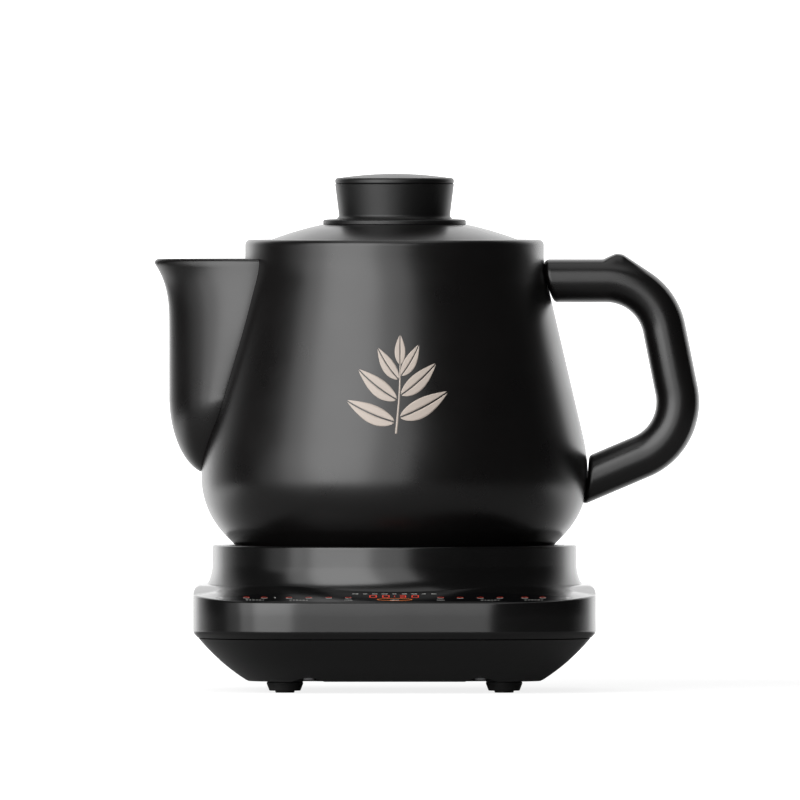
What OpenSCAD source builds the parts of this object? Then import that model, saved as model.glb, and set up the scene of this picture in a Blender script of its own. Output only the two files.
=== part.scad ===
// Herbal decoction pot on its heated base, in millimetres.
// +Z is up, the pot's axis is the Z axis and the feet stand on z = 0.
// The spout points to -X, the handle to +X and the touch panel to -Y.

/* [Pot] */
// Outer radius of the rim
rim_r = 82.2; // [72:0.2:90]
// Largest outer radius of the body
belly_r = 106.3; // [92:0.1:128]
// Height of the rim above the pot's foot
pot_h = 181.8; // [150:0.2:220]
// Height of the widest level above the pot's foot
belly_h = 51.5; // [44:0.5:62]
// Radius of the outline's arc above the widest level
belly_up_r = 100; // [60:1:120]
// Radius of the outline's arc below the widest level
belly_low_r = 46; // [38:1:54]
// Radius of the hollow blend from the shoulder into the rim
neck_blend_r = 60; // [20:1:70]
// Height of the upright band below the rim
rim_band_h = 8.8; // [6:0.2:14]
// Thickness of the ceramic wall
wall = 6; // [4:0.1:8]
// Thickness of the pot's floor
floor_t = 7; // [5:0.1:10]
// Radius of the bore that the lid's skirt drops into
mouth_r = 66; // [58:0.2:68]
// Depth of the step that the lid rests on
seat_depth = 4; // [3:0.1:6]
// Rounding of the rim's outer edge
rim_round = 3; // [1:0.1:4]

/* [Spout] */
// Distance of the spout's upright front from the pot's axis
spout_reach = 124; // [116:0.5:150]
// How far the lip leans out beyond the upright front
lip_out = 10; // [3:0.1:14]
// Half of the spout's width where its lower curve begins
spout_half_w = 31.8; // [26:0.1:38]
// Half of the spout's width at the mouth
spout_mouth_w = 35.8; // [28:0.1:42]
// Height of the lip below the rim
lip_drop = 10.5; // [6:0.5:30]
// Height above the pot's foot where the spout leaves the body
spout_foot_h = 54.2; // [48:0.2:70]
// Height above the pot's foot where the lower curve begins
spout_bend_h = 96; // [85:1:120]
// Thickness of the spout's wall
spout_wall = 5; // [3.5:0.1:6]
// Radius of the perforated piece behind the spout
strainer_r = 21; // [16:0.5:24]
// Radius of one strainer hole
strainer_hole_r = 2.4; // [1.5:0.1:2.8]
// Distance between neighbouring strainer holes
strainer_pitch = 8; // [7:0.1:9]

/* [Handle] */
// Distance of the upper arm's centreline below the rim
arm_drop = 22.7; // [18:0.1:40]
// Distance of the upper bend's centre from the pot's axis
bend_x = 116.3; // [110:0.1:140]
// Radius of both bends at the centreline
bend_r = 32.65; // [26:0.05:40]
// Angle by which the grip leans outwards
grip_lean = 11.3; // [0:0.1:18]
// Length of the straight grip
grip_l = 34.7; // [25:0.1:50]
// Slope of the lower arm
arm_slope = 23; // [10:0.5:35]
// Thickness of the handle from its inside to its back
handle_t = 23.8; // [18:0.1:28]
// Radius of the handle's inside and flanks
handle_r = 12.6; // [10:0.1:15]
// Radius of the flatter back, which meets the flanks in a crease
handle_back_r = 18; // [15:0.5:30]
// Rise of the thumb rest over the upper bend
thumb_rise = 3.6; // [2:0.1:5]
// Width of the thumb rest
thumb_w = 17; // [12:0.5:20]

/* [Lid] */
// Radius of the lid
lid_r = 71; // [67:0.1:74]
// Radius of the sphere that the lid's dome is part of
dome_r = 191; // [150:1:260]
// Thickness of the lid
lid_t = 5; // [3.5:0.1:6]
// Height of the lid's upright edge
lid_edge_h = 2.8; // [2:0.1:3.8]
// Depth of the locating skirt below the lid's seat
skirt_h = 7.3; // [5:0.1:14]
// Radius of the knob's flange
flange_r = 39.3; // [36:0.1:46]
// Radius of the knob at its foot
knob_foot_r = 30.5; // [26:0.1:32]
// Radius of the knob at its top
knob_top_r = 32.7; // [30:0.1:36]
// Height of the knob's side above the lid
knob_h = 18.3; // [14:0.1:30]
// Height of the cap's edge
cap_edge_h = 3; // [2:0.1:5]
// Rise of the cap's domed top
cap_rise = 2.4; // [1:0.1:4]

/* [Base] */
// Height of the feet
foot_h = 6.3; // [4:0.1:10]
// Height of the seam between the shells
seam_z = 30; // [27:0.5:34]
// Height of the base's top
top_z = 58.3; // [57:0.1:60]
// Height of the pedestal collar
collar_z = 80; // [76:0.2:86]
// Height of the heating plate's face, which the pot stands on
pot_z = 66; // [65:0.1:68]
// Width of the collar's wall beyond the pot
collar_w = 12.4; // [10:0.1:16]
// Distance from the collar to the base's sides and back
base_margin = 10.2; // [9:0.1:20]
// Radius of the base's corners in plan
corner_r = 62; // [48:0.5:70]
// Thickness of the moulded shells
shell_t = 2.5; // [2:0.1:3]
// Rounding along the base's top edge
shoulder_r = 4.4; // [3:0.1:6]
// How far the band tucks in at the seam
seam_in = 2.6; // [2:0.1:4]
// How far the lower shell tucks in at its foot
tuck_in = 30.1; // [24:0.1:34]
// Radius of the lower shell's bulge
bulge_r = 113; // [90:1:200]
// Gap between the shells that reads as the seam
seam_gap = 0.4; // [0.2:0.1:1]
// Room between the pot and the collar
collar_gap = 1.2; // [0.8:0.1:2]

/* [Panel] */
// Slope of the control panel
panel_tilt = 9.8; // [6:0.1:12]
// Length of the panel down its slope
panel_l = 32; // [28:0.5:40]
// Thickness of the inlay
panel_t = 2; // [1.5:0.1:2.5]
// Rim of housing left around the inlay
panel_margin = 3.6; // [2.5:0.1:6]
// Length of the display
display_w = 28; // [20:1:34]
// Distance between neighbouring keys
key_pitch = 11.2; // [9:0.1:11.5]
// Distance of the innermost key from the middle
key_inner = 27; // [24:0.5:30]

/* [Heater] */
// How far the heating plate stays inside the pot's flat foot
plate_inset = 9.3; // [6:0.1:14]
// Radius of the tube that the heating element is bent from
element_r = 4; // [3:0.1:4.5]
// Travel of the temperature probe
probe_travel = 2.5; // [1.5:0.1:3]
// Radius of the probe's cap
probe_r = 9; // [6:0.1:9]
// Turns of the probe's spring
spring_turns = 5; // [4:1:7]

/* [Hidden] */
$fn = 96;

// Finishes
CERAMIC = [0.07, 0.07, 0.07];
MOULDING = [0.06, 0.06, 0.065];
GLOSS = [0.02, 0.02, 0.025];
RUBBER = [0.05, 0.05, 0.05];
STEEL = [0.72, 0.72, 0.74];
ALUMINIUM = [0.80, 0.80, 0.82];
SILICONE = [0.85, 0.85, 0.82];
BRASS = [0.80, 0.66, 0.35];
BOARD = [0.05, 0.32, 0.16];

// Clearances
joint_gap = 0.05;    // between the luted ceramic pieces
slide_gap = 0.1;     // round the probe's flange
fit_gap = 0.3;       // round pieces that drop into place
screw_gap = 0.02;    // round screw shanks
eps = 0.01;
big = 400;

// Heights and centres of the pot
rim_z = pot_z + pot_h;
belly_z = pot_z + belly_h;
neck_z = rim_z - rim_band_h;
seat_z = rim_z - seat_depth;
foot_corner_r = 8;
floor_corner_r = 14;
mouth_slope_h = 8;   // height of the slope under the rim's inward lip
mouth_bore_h = 4;    // height of the bore below the lid's step
upper_c = [belly_r - belly_up_r, belly_z];
lower_c = [belly_r - belly_low_r, belly_z];
neck_c = [rim_r + neck_blend_r, neck_z];
blend_v = neck_c - upper_c;
// Angle of the straight flank's normal: the flank touches the upper arc and the neck's arc
flank_a = atan2(blend_v.y, blend_v.x) - acos((belly_up_r + neck_blend_r) / norm(blend_v));
under_a = -45;       // angle at which the lower arc turns into the straight underside

function unit(a) = [cos(a), sin(a)];
function flank_low(t) = upper_c + (belly_up_r - t) * unit(flank_a);
function flank_high(t) = neck_c - (neck_blend_r + t) * unit(flank_a);
function under_high(t) = lower_c + (belly_low_r - t) * unit(under_a);
// Centre of the foot's corner arc: it touches the straight underside and the level z
function foot_c(t, z, r) =
    [lower_c.x + (belly_low_r - t - r) * sqrt(2) + z + r - lower_c.y, z + r];

// Outer radius of the pot at a height, grown by g
function line_x(p, q, z) = p.x + (q.x - p.x) * (z - p.y) / (q.y - p.y);
function pot_r(z, g = 0) =
    z >= neck_z ? rim_r + g :
    z >= flank_high(-g).y ? neck_c.x - sqrt(pow(neck_blend_r - g, 2) - pow(z - neck_z, 2)) :
    z >= flank_low(-g).y ? line_x(flank_low(-g), flank_high(-g), z) :
    z >= belly_z ? upper_c.x + sqrt(pow(belly_up_r + g, 2) - pow(z - belly_z, 2)) :
    z >= under_high(-g).y ? lower_c.x + sqrt(pow(belly_low_r + g, 2) - pow(z - belly_z, 2)) :
    under_high(-g).x - (under_high(-g).y - z);

foot_flat_r = foot_c(0, pot_z, foot_corner_r).x;

// Spout
lip_z = rim_z - lip_drop;
spout_foot_z = pot_z + spout_foot_h;
spout_bend_z = pot_z + spout_bend_h;
strainer_z = (spout_bend_z + lip_z) / 2 - 10;
lip_start = 0.47;    // share of the upright front below the lip's lean
spout_rings = 22;
spout_steps = 26;
spout_rim_steps = 4;
spout_rim_t = spout_wall / 2;
handle_steps = 14;   // sections in each bend of the handle

// Lid and knob
seat_gap = 0.5;      // round the lid in its step
lid_seat_r = lid_r + seat_gap;
apex_z = seat_z + lid_edge_h + dome_r - sqrt(pow(dome_r, 2) - pow(lid_r, 2));
dome_c = [0, apex_z - dome_r];
skirt_r = mouth_r - 1.2;
skirt_t = 4.5;
lid_boss_r = 11;
lid_boss_z = apex_z - lid_t - 0.8;
knob_screw_r = 1.9;
flange_lip = 1.7;    // rounding of the flange's edge
flange_z = apex_z - 1;
knob_fillet_r = 2.2;
knob_wall = 2.5;
knob_top_z = apex_z + knob_h;
cap_round = 1.6;
washer_t = 1.5;

// Base in plan
collar_r = pot_r(collar_z) + collar_w;
flare_r = 22.5;
flare_h = 11;
flare_out = flare_r - sqrt(pow(flare_r, 2) - pow(flare_h + 3, 2));
base_hx = collar_r + base_margin;
base_back = collar_r + base_margin - 0.6;
panel_back = collar_r + flare_out + 0.2;
base_front = panel_back + panel_l * cos(panel_tilt);
corner_x = base_hx - corner_r;
corner_yf = corner_r - base_front;
corner_yb = base_back - corner_r;
panel_drop = 8.3;    // from the base's top to the panel's front edge
panel_z = top_z - panel_drop;
panel_wall = 3.4;    // housing under the panel's face
edge_soft_r = 3;     // soft edge between the band and its tuck
tuck_a = 43;         // slope of the tuck above the seam
chassis_top_z = seam_z - seam_gap;
chassis_foot = [corner_r - tuck_in, foot_h];
chassis_head = [corner_r - seam_in - 0.5, chassis_top_z];
chassis_t = 2.6;

// Collar floor, plate and pan
recess_z = pot_z - 0.6;
collar_floor_z = recess_z - 2.4;
plate_r = foot_flat_r - plate_inset;
plate_flange_r = plate_r + 5.8;
seal_t = 0.8;
plate_flange_z = collar_floor_z - seal_t;
plate_low_z = plate_flange_z - 4;
plate_hole_r = 13.4;
element_ring_r = plate_r - 17;
pan_z = plate_low_z - 12.2;
pan_t = 1;
pan_floor_z = pan_z + pan_t;
pan_r = plate_flange_r + 3.5;
pan_flange_r = pan_r + 9.5;
pan_flange_z = plate_low_z - 1.2;
pan_screw_ring_r = pan_r + 5;
plate_post_ring_r = plate_r - 4.2;
plate_post_r = 4;
gap_angle = 60;      // opening of the element's C, at the back

// Probe, at rest just below the pot's foot
probe_top_z = pot_z - 0.3;
probe_flange_r = probe_r + 2.2;
probe_flange_z = probe_top_z - 7.7;
probe_flange_t = 2.5;
probe_stem_r = 3;
holder_r = probe_flange_r + slide_gap;
holder_wall = 1.5;
holder_floor_z = pan_floor_z + 1;
spring_r = 6;
spring_wire_r = 0.6;

// Fasteners and boards
screw_r = 1.5;
screw_head_r = 2.8;
screw_head_h = 1.8;
case_screw_r = 2;
case_head_r = 3.8;
pocket_r = 11;
pocket_h = 3.2;
case_boss_r = 5;
case_in = 37.6;      // from the base's front and back to the case screws
case_front = [47, base_front - case_in];
case_back = [47, base_back - case_in];
board_t = 1.6;
power_board_z = 16;
power_board = [100, 80];
power_board_y = 20;
post_r = 3.6;
post_dx = power_board.x / 2 - 5;
post_dy = power_board.y / 2 - 5;
pad_h = 4;
pad_r = 2.4;
pad_share = 0.93;    // pads stand further in than the keys' marks, clear of the inlay's corners
key_y = 17;          // keys up the panel's slope
start_y = 8.5;
ledge_w = 1.8;       // width of the ledge that carries the inlay
window = [5, 25];
control_board_y = [3.5, 29.5];
control_post = [60, 27.2];
inlet_z = 43.9;
inlet_flange = [48, 19.6];
inlet_body = [27.2, 18.4];
inlet_cavity = [24, 15.4];
inlet_depth = 20;
inlet_flange_t = 1.5;
inlet_screw_x = 19;

// Feet
foot_r = 10.5;
foot_tip_r = 8.5;
foot_pad_r = 5.25;
foot_pad_h = 1.1;
foot_peg_r = 2.4;
foot_x = 60;
foot_in = 55.4;      // from the base's front and back to the feet
foot_front_y = foot_in - base_front;
foot_back_y = base_back - foot_in;

// ---------- Outlines ----------

// Slice of a disc between two angles
module sector(c, r, a0, a1) {
    intersection() {
        translate(c) circle(r);
        polygon([c, c + 2 * r * unit(a0), c + 2 * r * unit((a0 + a1) / 2), c + 2 * r * unit(a1)]);
    }
}

// Half outline of the pot, moved inwards by t, with its own bottom level and corner
module pot_outline(t, bottom_z, corner, head_z) {
    f = foot_c(t, bottom_z, corner);
    difference() {
        union() {
            polygon([[0, bottom_z], [f.x, bottom_z], f + corner * unit(under_a), under_high(t),
                [belly_r - t, belly_z], flank_low(t), flank_high(t),
                [rim_r - t, neck_z], [rim_r - t, head_z], [0, head_z]]);
            sector(f, corner, -90, under_a);
            sector(lower_c, belly_low_r - t, under_a, 0);
            sector(upper_c, belly_up_r - t, 0, flank_a);
        }
        translate(neck_c) circle(neck_blend_r + t);
    }
}

// The whole pot as a solid, grown by g: what the ceramic pieces and the collar are cut by
module pot_blank(g) {
    rotate_extrude() pot_outline(-g, pot_z - g, foot_corner_r, rim_z);
}

// A profile drawn outwards from a corner's centre, carried round the base's plan.
// z0 and z1 are the profile's levels on the corner's axis, which the middle is filled between.
module round_tray(z0, z1) {
    run_y = corner_yb - corner_yf;
    run_x = 2 * corner_x;
    for (s = [[corner_x, corner_yb, 0, run_y], [-corner_x, corner_yb, 90, run_x],
              [-corner_x, corner_yf, 180, run_y], [corner_x, corner_yf, 270, run_x]])
        translate([s[0], s[1], 0]) rotate([0, 0, s[2]]) {
            rotate_extrude(angle = 90) children();
            rotate([90, 0, 0]) linear_extrude(s[3]) children();
        }
    translate([-corner_x, corner_yf, z0]) cube([run_x, run_y, z1 - z0]);
}

// Upright prism over the base's plan, moved inwards
module plan_prism(inset, z0, z1) {
    r = corner_r - inset;
    translate([0, 0, z0]) linear_extrude(z1 - z0) {
        for (x = [-corner_x, corner_x], y = [corner_yf, corner_yb]) translate([x, y]) circle(r);
        translate([-corner_x - r, corner_yf]) square([2 * (corner_x + r), corner_yb - corner_yf]);
        translate([-corner_x, corner_yf - r]) square([2 * corner_x, corner_yb - corner_yf + 2 * r]);
    }
}

// Places children on the panel's face: x to the right, y up the slope, z out of the face
module on_panel() {
    translate([0, -base_front, panel_z]) rotate([panel_tilt, 0, 0]) children();
}

module above_panel(lower) {
    on_panel() translate([-big / 2, -big / 4, -lower]) cube([big, big, big / 2]);
}

// Pan-head screw standing on its head, with its seat at z = 0 and its shank upwards
module screw(r, head_r, head_h, l) {
    cylinder(r = r, h = l);
    translate([0, 0, -head_h]) cylinder(r1 = head_r * 0.8, r2 = head_r, h = head_h);
}

// ---------- Pot ----------

module pot_body() {
    color(CERAMIC) difference() {
        rotate_extrude() difference() {
            pot_outline(0, pot_z, foot_corner_r, rim_z);
            translate([rim_r - rim_round, rim_z - rim_round]) difference() {
                square(rim_round + 1);
                circle(rim_round);
            }
            intersection() {
                pot_outline(wall, pot_z + floor_t, floor_corner_r, rim_z);
                square([belly_r, seat_z - mouth_bore_h - mouth_slope_h]);
            }
            polygon([[0, seat_z - mouth_bore_h - mouth_slope_h - 1],
                [rim_r - wall, seat_z - mouth_bore_h - mouth_slope_h - 1],
                [rim_r - wall, seat_z - mouth_bore_h - mouth_slope_h],
                [mouth_r, seat_z - mouth_bore_h], [mouth_r, seat_z],
                [lid_seat_r, seat_z], [lid_seat_r, rim_z + 1], [0, rim_z + 1]]);
        }
        strainer_plug(strainer_r);
    }
}

module strainer_plug(r) {
    translate([0, 0, strainer_z]) rotate([0, -90, 0]) cylinder(r = r, h = belly_r + 20);
}

// Hexagonal field of holes in a piece of the pot's own wall
module spout_strainer() {
    color(CERAMIC) difference() {
        intersection() {
            rotate_extrude() difference() {
                pot_outline(0, pot_z, foot_corner_r, rim_z);
                pot_outline(wall, pot_z + floor_t, floor_corner_r, rim_z + 1);
            }
            strainer_plug(strainer_r - joint_gap);
        }
        for (row = [-2:2], col = [0:4 - abs(row)])
            translate([0, (col - (4 - abs(row)) / 2) * strainer_pitch,
                       strainer_z + row * strainer_pitch * sqrt(3) / 2])
                rotate([0, -90, 0]) cylinder(r = strainer_hole_r, h = belly_r + 20, $fn = 32);
    }
}

// Front of the spout at a height: a leaning lip, an upright stretch and a quarter-oval foot
function spout_bottom(t) = spout_foot_z + 1.4 * t;
function foot_share(z, t) = (spout_bend_z - z) / (spout_bend_z - spout_bottom(t) + 1.7);
function spout_front(z, t) =
    z < spout_bend_z ?
        spout_reach - t - (spout_reach - t - pot_r(spout_bottom(t)) - 0.8)
            * (1 - sqrt(1 - pow(foot_share(z, t), 2)))
            / (1 - sqrt(1 - pow(foot_share(spout_bottom(t), t), 2))) :
    spout_reach - t + lip_out
        * pow(max(0, (z - spout_bend_z) / (lip_z - spout_bend_z) - lip_start) / (1 - lip_start), 2);
// Half of the spout's width at a height
function spout_half(z, t) =
    z < spout_bend_z ?
        max(1, (spout_half_w - t) * pow(max(0,
            1 - pow((spout_bend_z - z) / (spout_bend_z - spout_bottom(t)), 1.5)), 0.6)) :
    spout_half_w - t + (spout_mouth_w - spout_half_w)
        * sin(90 * min(1, 1.5 * (z - spout_bend_z) / (lip_z - spout_bend_z)));
// Point of the spout's skin: u runs up from the foot, a runs round the front from side to side
function spout_point(u, a, t) =
    let (z = spout_bottom(t) + (lip_z - spout_rim_t - spout_bottom(t)) * pow(u, 1.4),
         w = spout_half(z, t),
         r = pot_r(z, 2 * joint_gap),
         x = sqrt(r * r - w * w))
    [-x - max(0.3, spout_front(z, t) - x) * cos(a), w * sin(a), z];
// Half round over the wall's top edge, from the outer skin to the inner one
function spout_rim(i, a) =
    let (outer = spout_point(1, a, 0), inner = spout_point(1, a, spout_wall),
         h = 180 * i / (spout_rim_steps + 1))
    (outer + inner) / 2 + (outer - inner) / 2 * cos(h) + [0, 0, spout_rim_t * sin(h)];

module spout() {
    n = 2 * (spout_rings + 1) + spout_rim_steps;
    angles = [for (j = [0:spout_steps]) -90 + 180 * j / spout_steps];
    points = [for (a = angles) each [
        for (i = [0:spout_rings]) spout_point(i / spout_rings, a, 0),
        for (i = [1:spout_rim_steps]) spout_rim(i, a),
        for (i = [spout_rings:-1:0]) spout_point(i / spout_rings, a, spout_wall)]];
    skin = [for (j = [0:spout_steps - 1], k = [0:n - 1])
        let (p = j * n + k, q = j * n + (k + 1) % n)
        each [[p, q, q + n], [p, q + n, p + n]]];
    last = spout_steps * n;
    cheeks = [for (k = [0:n / 2 - 2])
        let (p = k, q = k + 1, r = n - 2 - k, s = n - 1 - k)
        each [[p, s, r], [p, r, q], [last + p, last + r, last + s], [last + p, last + q, last + r]]];
    color(CERAMIC) polyhedron(points, concat(skin, cheeks), convexity = 6);
}

// Outline of the handle's section: two arcs that meet in the creases. x points to the back.
function arc_points(c, r, a0, a1, n) = [for (i = [0:n - 1]) c + r * unit(a0 + (a1 - a0) * i / n)];
function handle_outline() =
    let (off = handle_back_r - handle_t + handle_r,
         crease_x = (pow(handle_back_r, 2) - pow(handle_r, 2) - off * off) / (2 * off),
         front_a = acos(crease_x / handle_r),
         back_a = acos((crease_x + off) / handle_back_r),
         mid = [handle_r - handle_t / 2, 0])
    concat(arc_points(mid, handle_r, front_a, 360 - front_a, 26),
        arc_points(mid - [off, 0], handle_back_r, -back_a, back_a, 8));

// Stations along the centreline, in the plane of the loop: [x, z, angle of the back's direction]
function bend_stations(c, a0, a1) = [for (i = [0:handle_steps])
    let (a = a0 + (a1 - a0) * i / handle_steps) [each c + bend_r * unit(a), a]];
function handle_stations() =
    let (upper = [bend_x, rim_z - arm_drop - bend_r],
         lower = upper + grip_l * unit(grip_lean - 90),
         end = lower + bend_r * unit(arm_slope - 90)
             + (bend_x + bend_r - belly_r) * unit(arm_slope - 180))
    concat([[rim_r / 2, upper.y + bend_r, 90]], bend_stations(upper, 90, grip_lean),
        bend_stations(lower, grip_lean, arm_slope - 90), [[each end, arm_slope - 90]]);

// One section swept along the loop
module handle_loop() {
    outline = handle_outline();
    stations = handle_stations();
    n = len(outline);
    last = (len(stations) - 1) * n;
    points = [for (s = stations, p = outline) [s[0] + p.x * cos(s[2]), p.y, s[1] + p.x * sin(s[2])]];
    skin = [for (i = [0:len(stations) - 2], k = [0:n - 1])
        let (p = i * n + k, q = i * n + (k + 1) % n)
        each [[p, q, q + n], [p, q + n, p + n]]];
    ends = [for (k = [1:n - 2]) each [[0, k + 1, k], [last, last + k, last + k + 1]]];
    polyhedron(points, concat(skin, ends), convexity = 6);
}

module handle() {
    back_r = bend_r + handle_t / 2;
    color(CERAMIC) difference() {
        union() {
            handle_loop();
            // Drawn in the plane of the loop round the upper bend's centre, then stood up
            translate([bend_x, 0, rim_z - arm_drop - bend_r]) rotate([90, 0, 0])
                thumb_rest(back_r, back_r + thumb_rise);
        }
        pot_blank(joint_gap);
    }
}

// Ramp over the upper bend, hollowed along both sides
module thumb_rest(back_r, top) {
    tip = [5.5, top - 1.3];
    toe = back_r * 0.97 * unit(60);
    difference() {
        translate([0, 0, -thumb_w / 2]) linear_extrude(thumb_w) {
            translate(tip) circle(1.3);
            polygon([[-2, back_r - 4], [-1, back_r - 0.2], tip + 1.3 * unit(125),
                tip + 1.3 * unit(60), toe, toe * 0.9]);
        }
        for (s = [-1, 1]) translate([0, top + 4.2, s * (thumb_w / 2 + 5)]) rotate([0, 90, -28])
            translate([0, 0, -15]) cylinder(r = 10, h = 50);
    }
}

// ---------- Lid ----------

module lid() {
    color(CERAMIC) rotate_extrude() difference() {
        intersection() {
            union() {
                difference() {
                    translate([0, seat_z]) square([lid_r, big / 4]);
                    translate(dome_c) circle(dome_r - lid_t, $fn = 180);
                }
                translate([skirt_r - skirt_t, seat_z - skirt_h]) square([skirt_t, skirt_h + lid_t]);
                translate([skirt_r - eps, seat_z]) square([lid_r - skirt_r + eps, lid_edge_h]);
                translate([0, lid_boss_z]) square([lid_boss_r, lid_t]);
            }
            translate(dome_c) circle(dome_r, $fn = 180);
        }
        translate([0, lid_boss_z - 1]) square([knob_screw_r + 0.4, big / 8]);
    }
}

// Height and radius of the hollow in the knob at both ends, and the depth of the cap's plug in it
knob_room = [[apex_z + 3, knob_foot_r - knob_wall], [knob_top_z + 1, knob_top_r - knob_wall - 1]];
plug_l = 4;

module lid_knob() {
    color(MOULDING) rotate_extrude() difference() {
        union() {
            translate([0, apex_z - 8]) square([flange_r - flange_lip, flange_z - apex_z + 8]);
            translate([0, apex_z - 8]) square([flange_r, flange_z - flange_lip - apex_z + 8]);
            translate([flange_r - flange_lip, flange_z - flange_lip]) circle(flange_lip);
            difference() {
                translate([0, flange_z - eps]) square([knob_foot_r + knob_fillet_r, knob_fillet_r + eps]);
                translate([knob_foot_r + knob_fillet_r, flange_z + knob_fillet_r]) circle(knob_fillet_r);
            }
            polygon([[0, flange_z], [knob_foot_r, flange_z], [knob_foot_r, flange_z + knob_fillet_r],
                [knob_top_r, knob_top_z], [0, knob_top_z]]);
        }
        translate(dome_c) circle(dome_r + joint_gap, $fn = 180);
        difference() {
            polygon([[0, knob_room[0].x], [knob_room[0].y, knob_room[0].x],
                [knob_room[1].y, knob_room[1].x], [0, knob_room[1].x]]);
            square([knob_screw_r + 3, knob_top_z - 5]);
        }
        square([knob_screw_r + screw_gap, apex_z + knob_h - 7]);
    }
}

module knob_cap() {
    plug_r = min(lookup(knob_top_z - plug_l, knob_room), lookup(knob_top_z, knob_room)) - joint_gap;
    cap_z = knob_top_z + cap_edge_h;
    edge_r = knob_top_r - cap_round;
    crown_r = (pow(edge_r, 2) + pow(cap_rise, 2)) / (2 * cap_rise);
    color(MOULDING) rotate_extrude() {
        difference() {
            union() {
                translate([0, knob_top_z]) square([knob_top_r, cap_edge_h - cap_round]);
                translate([0, knob_top_z]) square([edge_r, cap_edge_h]);
                translate([edge_r, cap_z - cap_round]) circle(cap_round);
                intersection() {
                    translate([0, cap_z]) square([edge_r, cap_rise + 1]);
                    translate([0, cap_z + cap_rise - crown_r]) circle(crown_r, $fn = 180);
                }
            }
            translate([0, knob_top_z - big]) square(big);
        }
        translate([plug_r - 1.6, knob_top_z - plug_l]) square([1.6, plug_l]);
    }
}

module knob_screw() {
    color(STEEL) translate([0, 0, lid_boss_z - washer_t])
        screw(knob_screw_r, 4.5, 2.6, apex_z + knob_h - 8 - lid_boss_z + washer_t);
}

module knob_washer() {
    color(SILICONE) translate([0, 0, lid_boss_z - washer_t]) difference() {
        cylinder(r = 9, h = washer_t);
        translate([0, 0, -1]) cylinder(r = knob_screw_r + 0.4, h = washer_t + 2);
    }
}

// ---------- Base shells ----------

// Profile of the upper shell: tuck, soft edge, upright band and rounded shoulder
module band_profile() {
    tuck_h = seam_in / tan(tuck_a);
    soft_z = seam_z + tuck_h + edge_soft_r * tan(tuck_a / 2);
    soft_c = [corner_r - edge_soft_r, soft_z];
    top_c = [corner_r - shoulder_r, top_z - shoulder_r];
    polygon([[0, seam_z], [corner_r - seam_in, seam_z], soft_c + edge_soft_r * unit(-tuck_a),
        [corner_r, soft_z], [corner_r, top_c.y], [top_c.x, top_z], [0, top_z]]);
    sector(soft_c, edge_soft_r, -tuck_a, 0);
    sector(top_c, shoulder_r, 0, 90);
}

// Room inside the upper shell
module band_room() {
    r = corner_r - shell_t;
    polygon([[0, seam_z - 1], [r - seam_in - 0.6, seam_z - 1], [r, seam_z + 5],
        [r, top_z - shell_t - 2], [r - 2, top_z - shell_t], [0, top_z - shell_t]]);
}

// The collar's outside: an upright wall that flares into the base's top
module collar_outline() {
    edge = 1.2;
    difference() {
        translate([0, top_z - flare_h]) square([collar_r + 8, collar_z - top_z + flare_h]);
        translate([collar_r + flare_r, top_z + flare_h]) circle(flare_r, $fn = 180);
        translate([collar_r, top_z + flare_h]) square([20, big]);
        translate([collar_r - edge, collar_z - edge]) difference() {
            square(edge + 1);
            circle(edge);
        }
    }
}

module case_posts(r, z0, z1f, z1b) {
    for (s = [-1, 1]) {
        translate([s * case_front.x, -case_front.y, z0]) cylinder(r = r, h = z1f - z0);
        translate([s * case_back.x, case_back.y, z0]) cylinder(r = r, h = z1b - z0);
    }
}

module pan_places() {
    for (a = [30, 150, 270]) rotate([0, 0, a]) translate([pan_screw_ring_r, 0, 0]) children();
}

module plate_places() {
    for (a = [0, 120, 240]) rotate([0, 0, a]) translate([plate_post_ring_r, 0, 0]) children();
}

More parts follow.
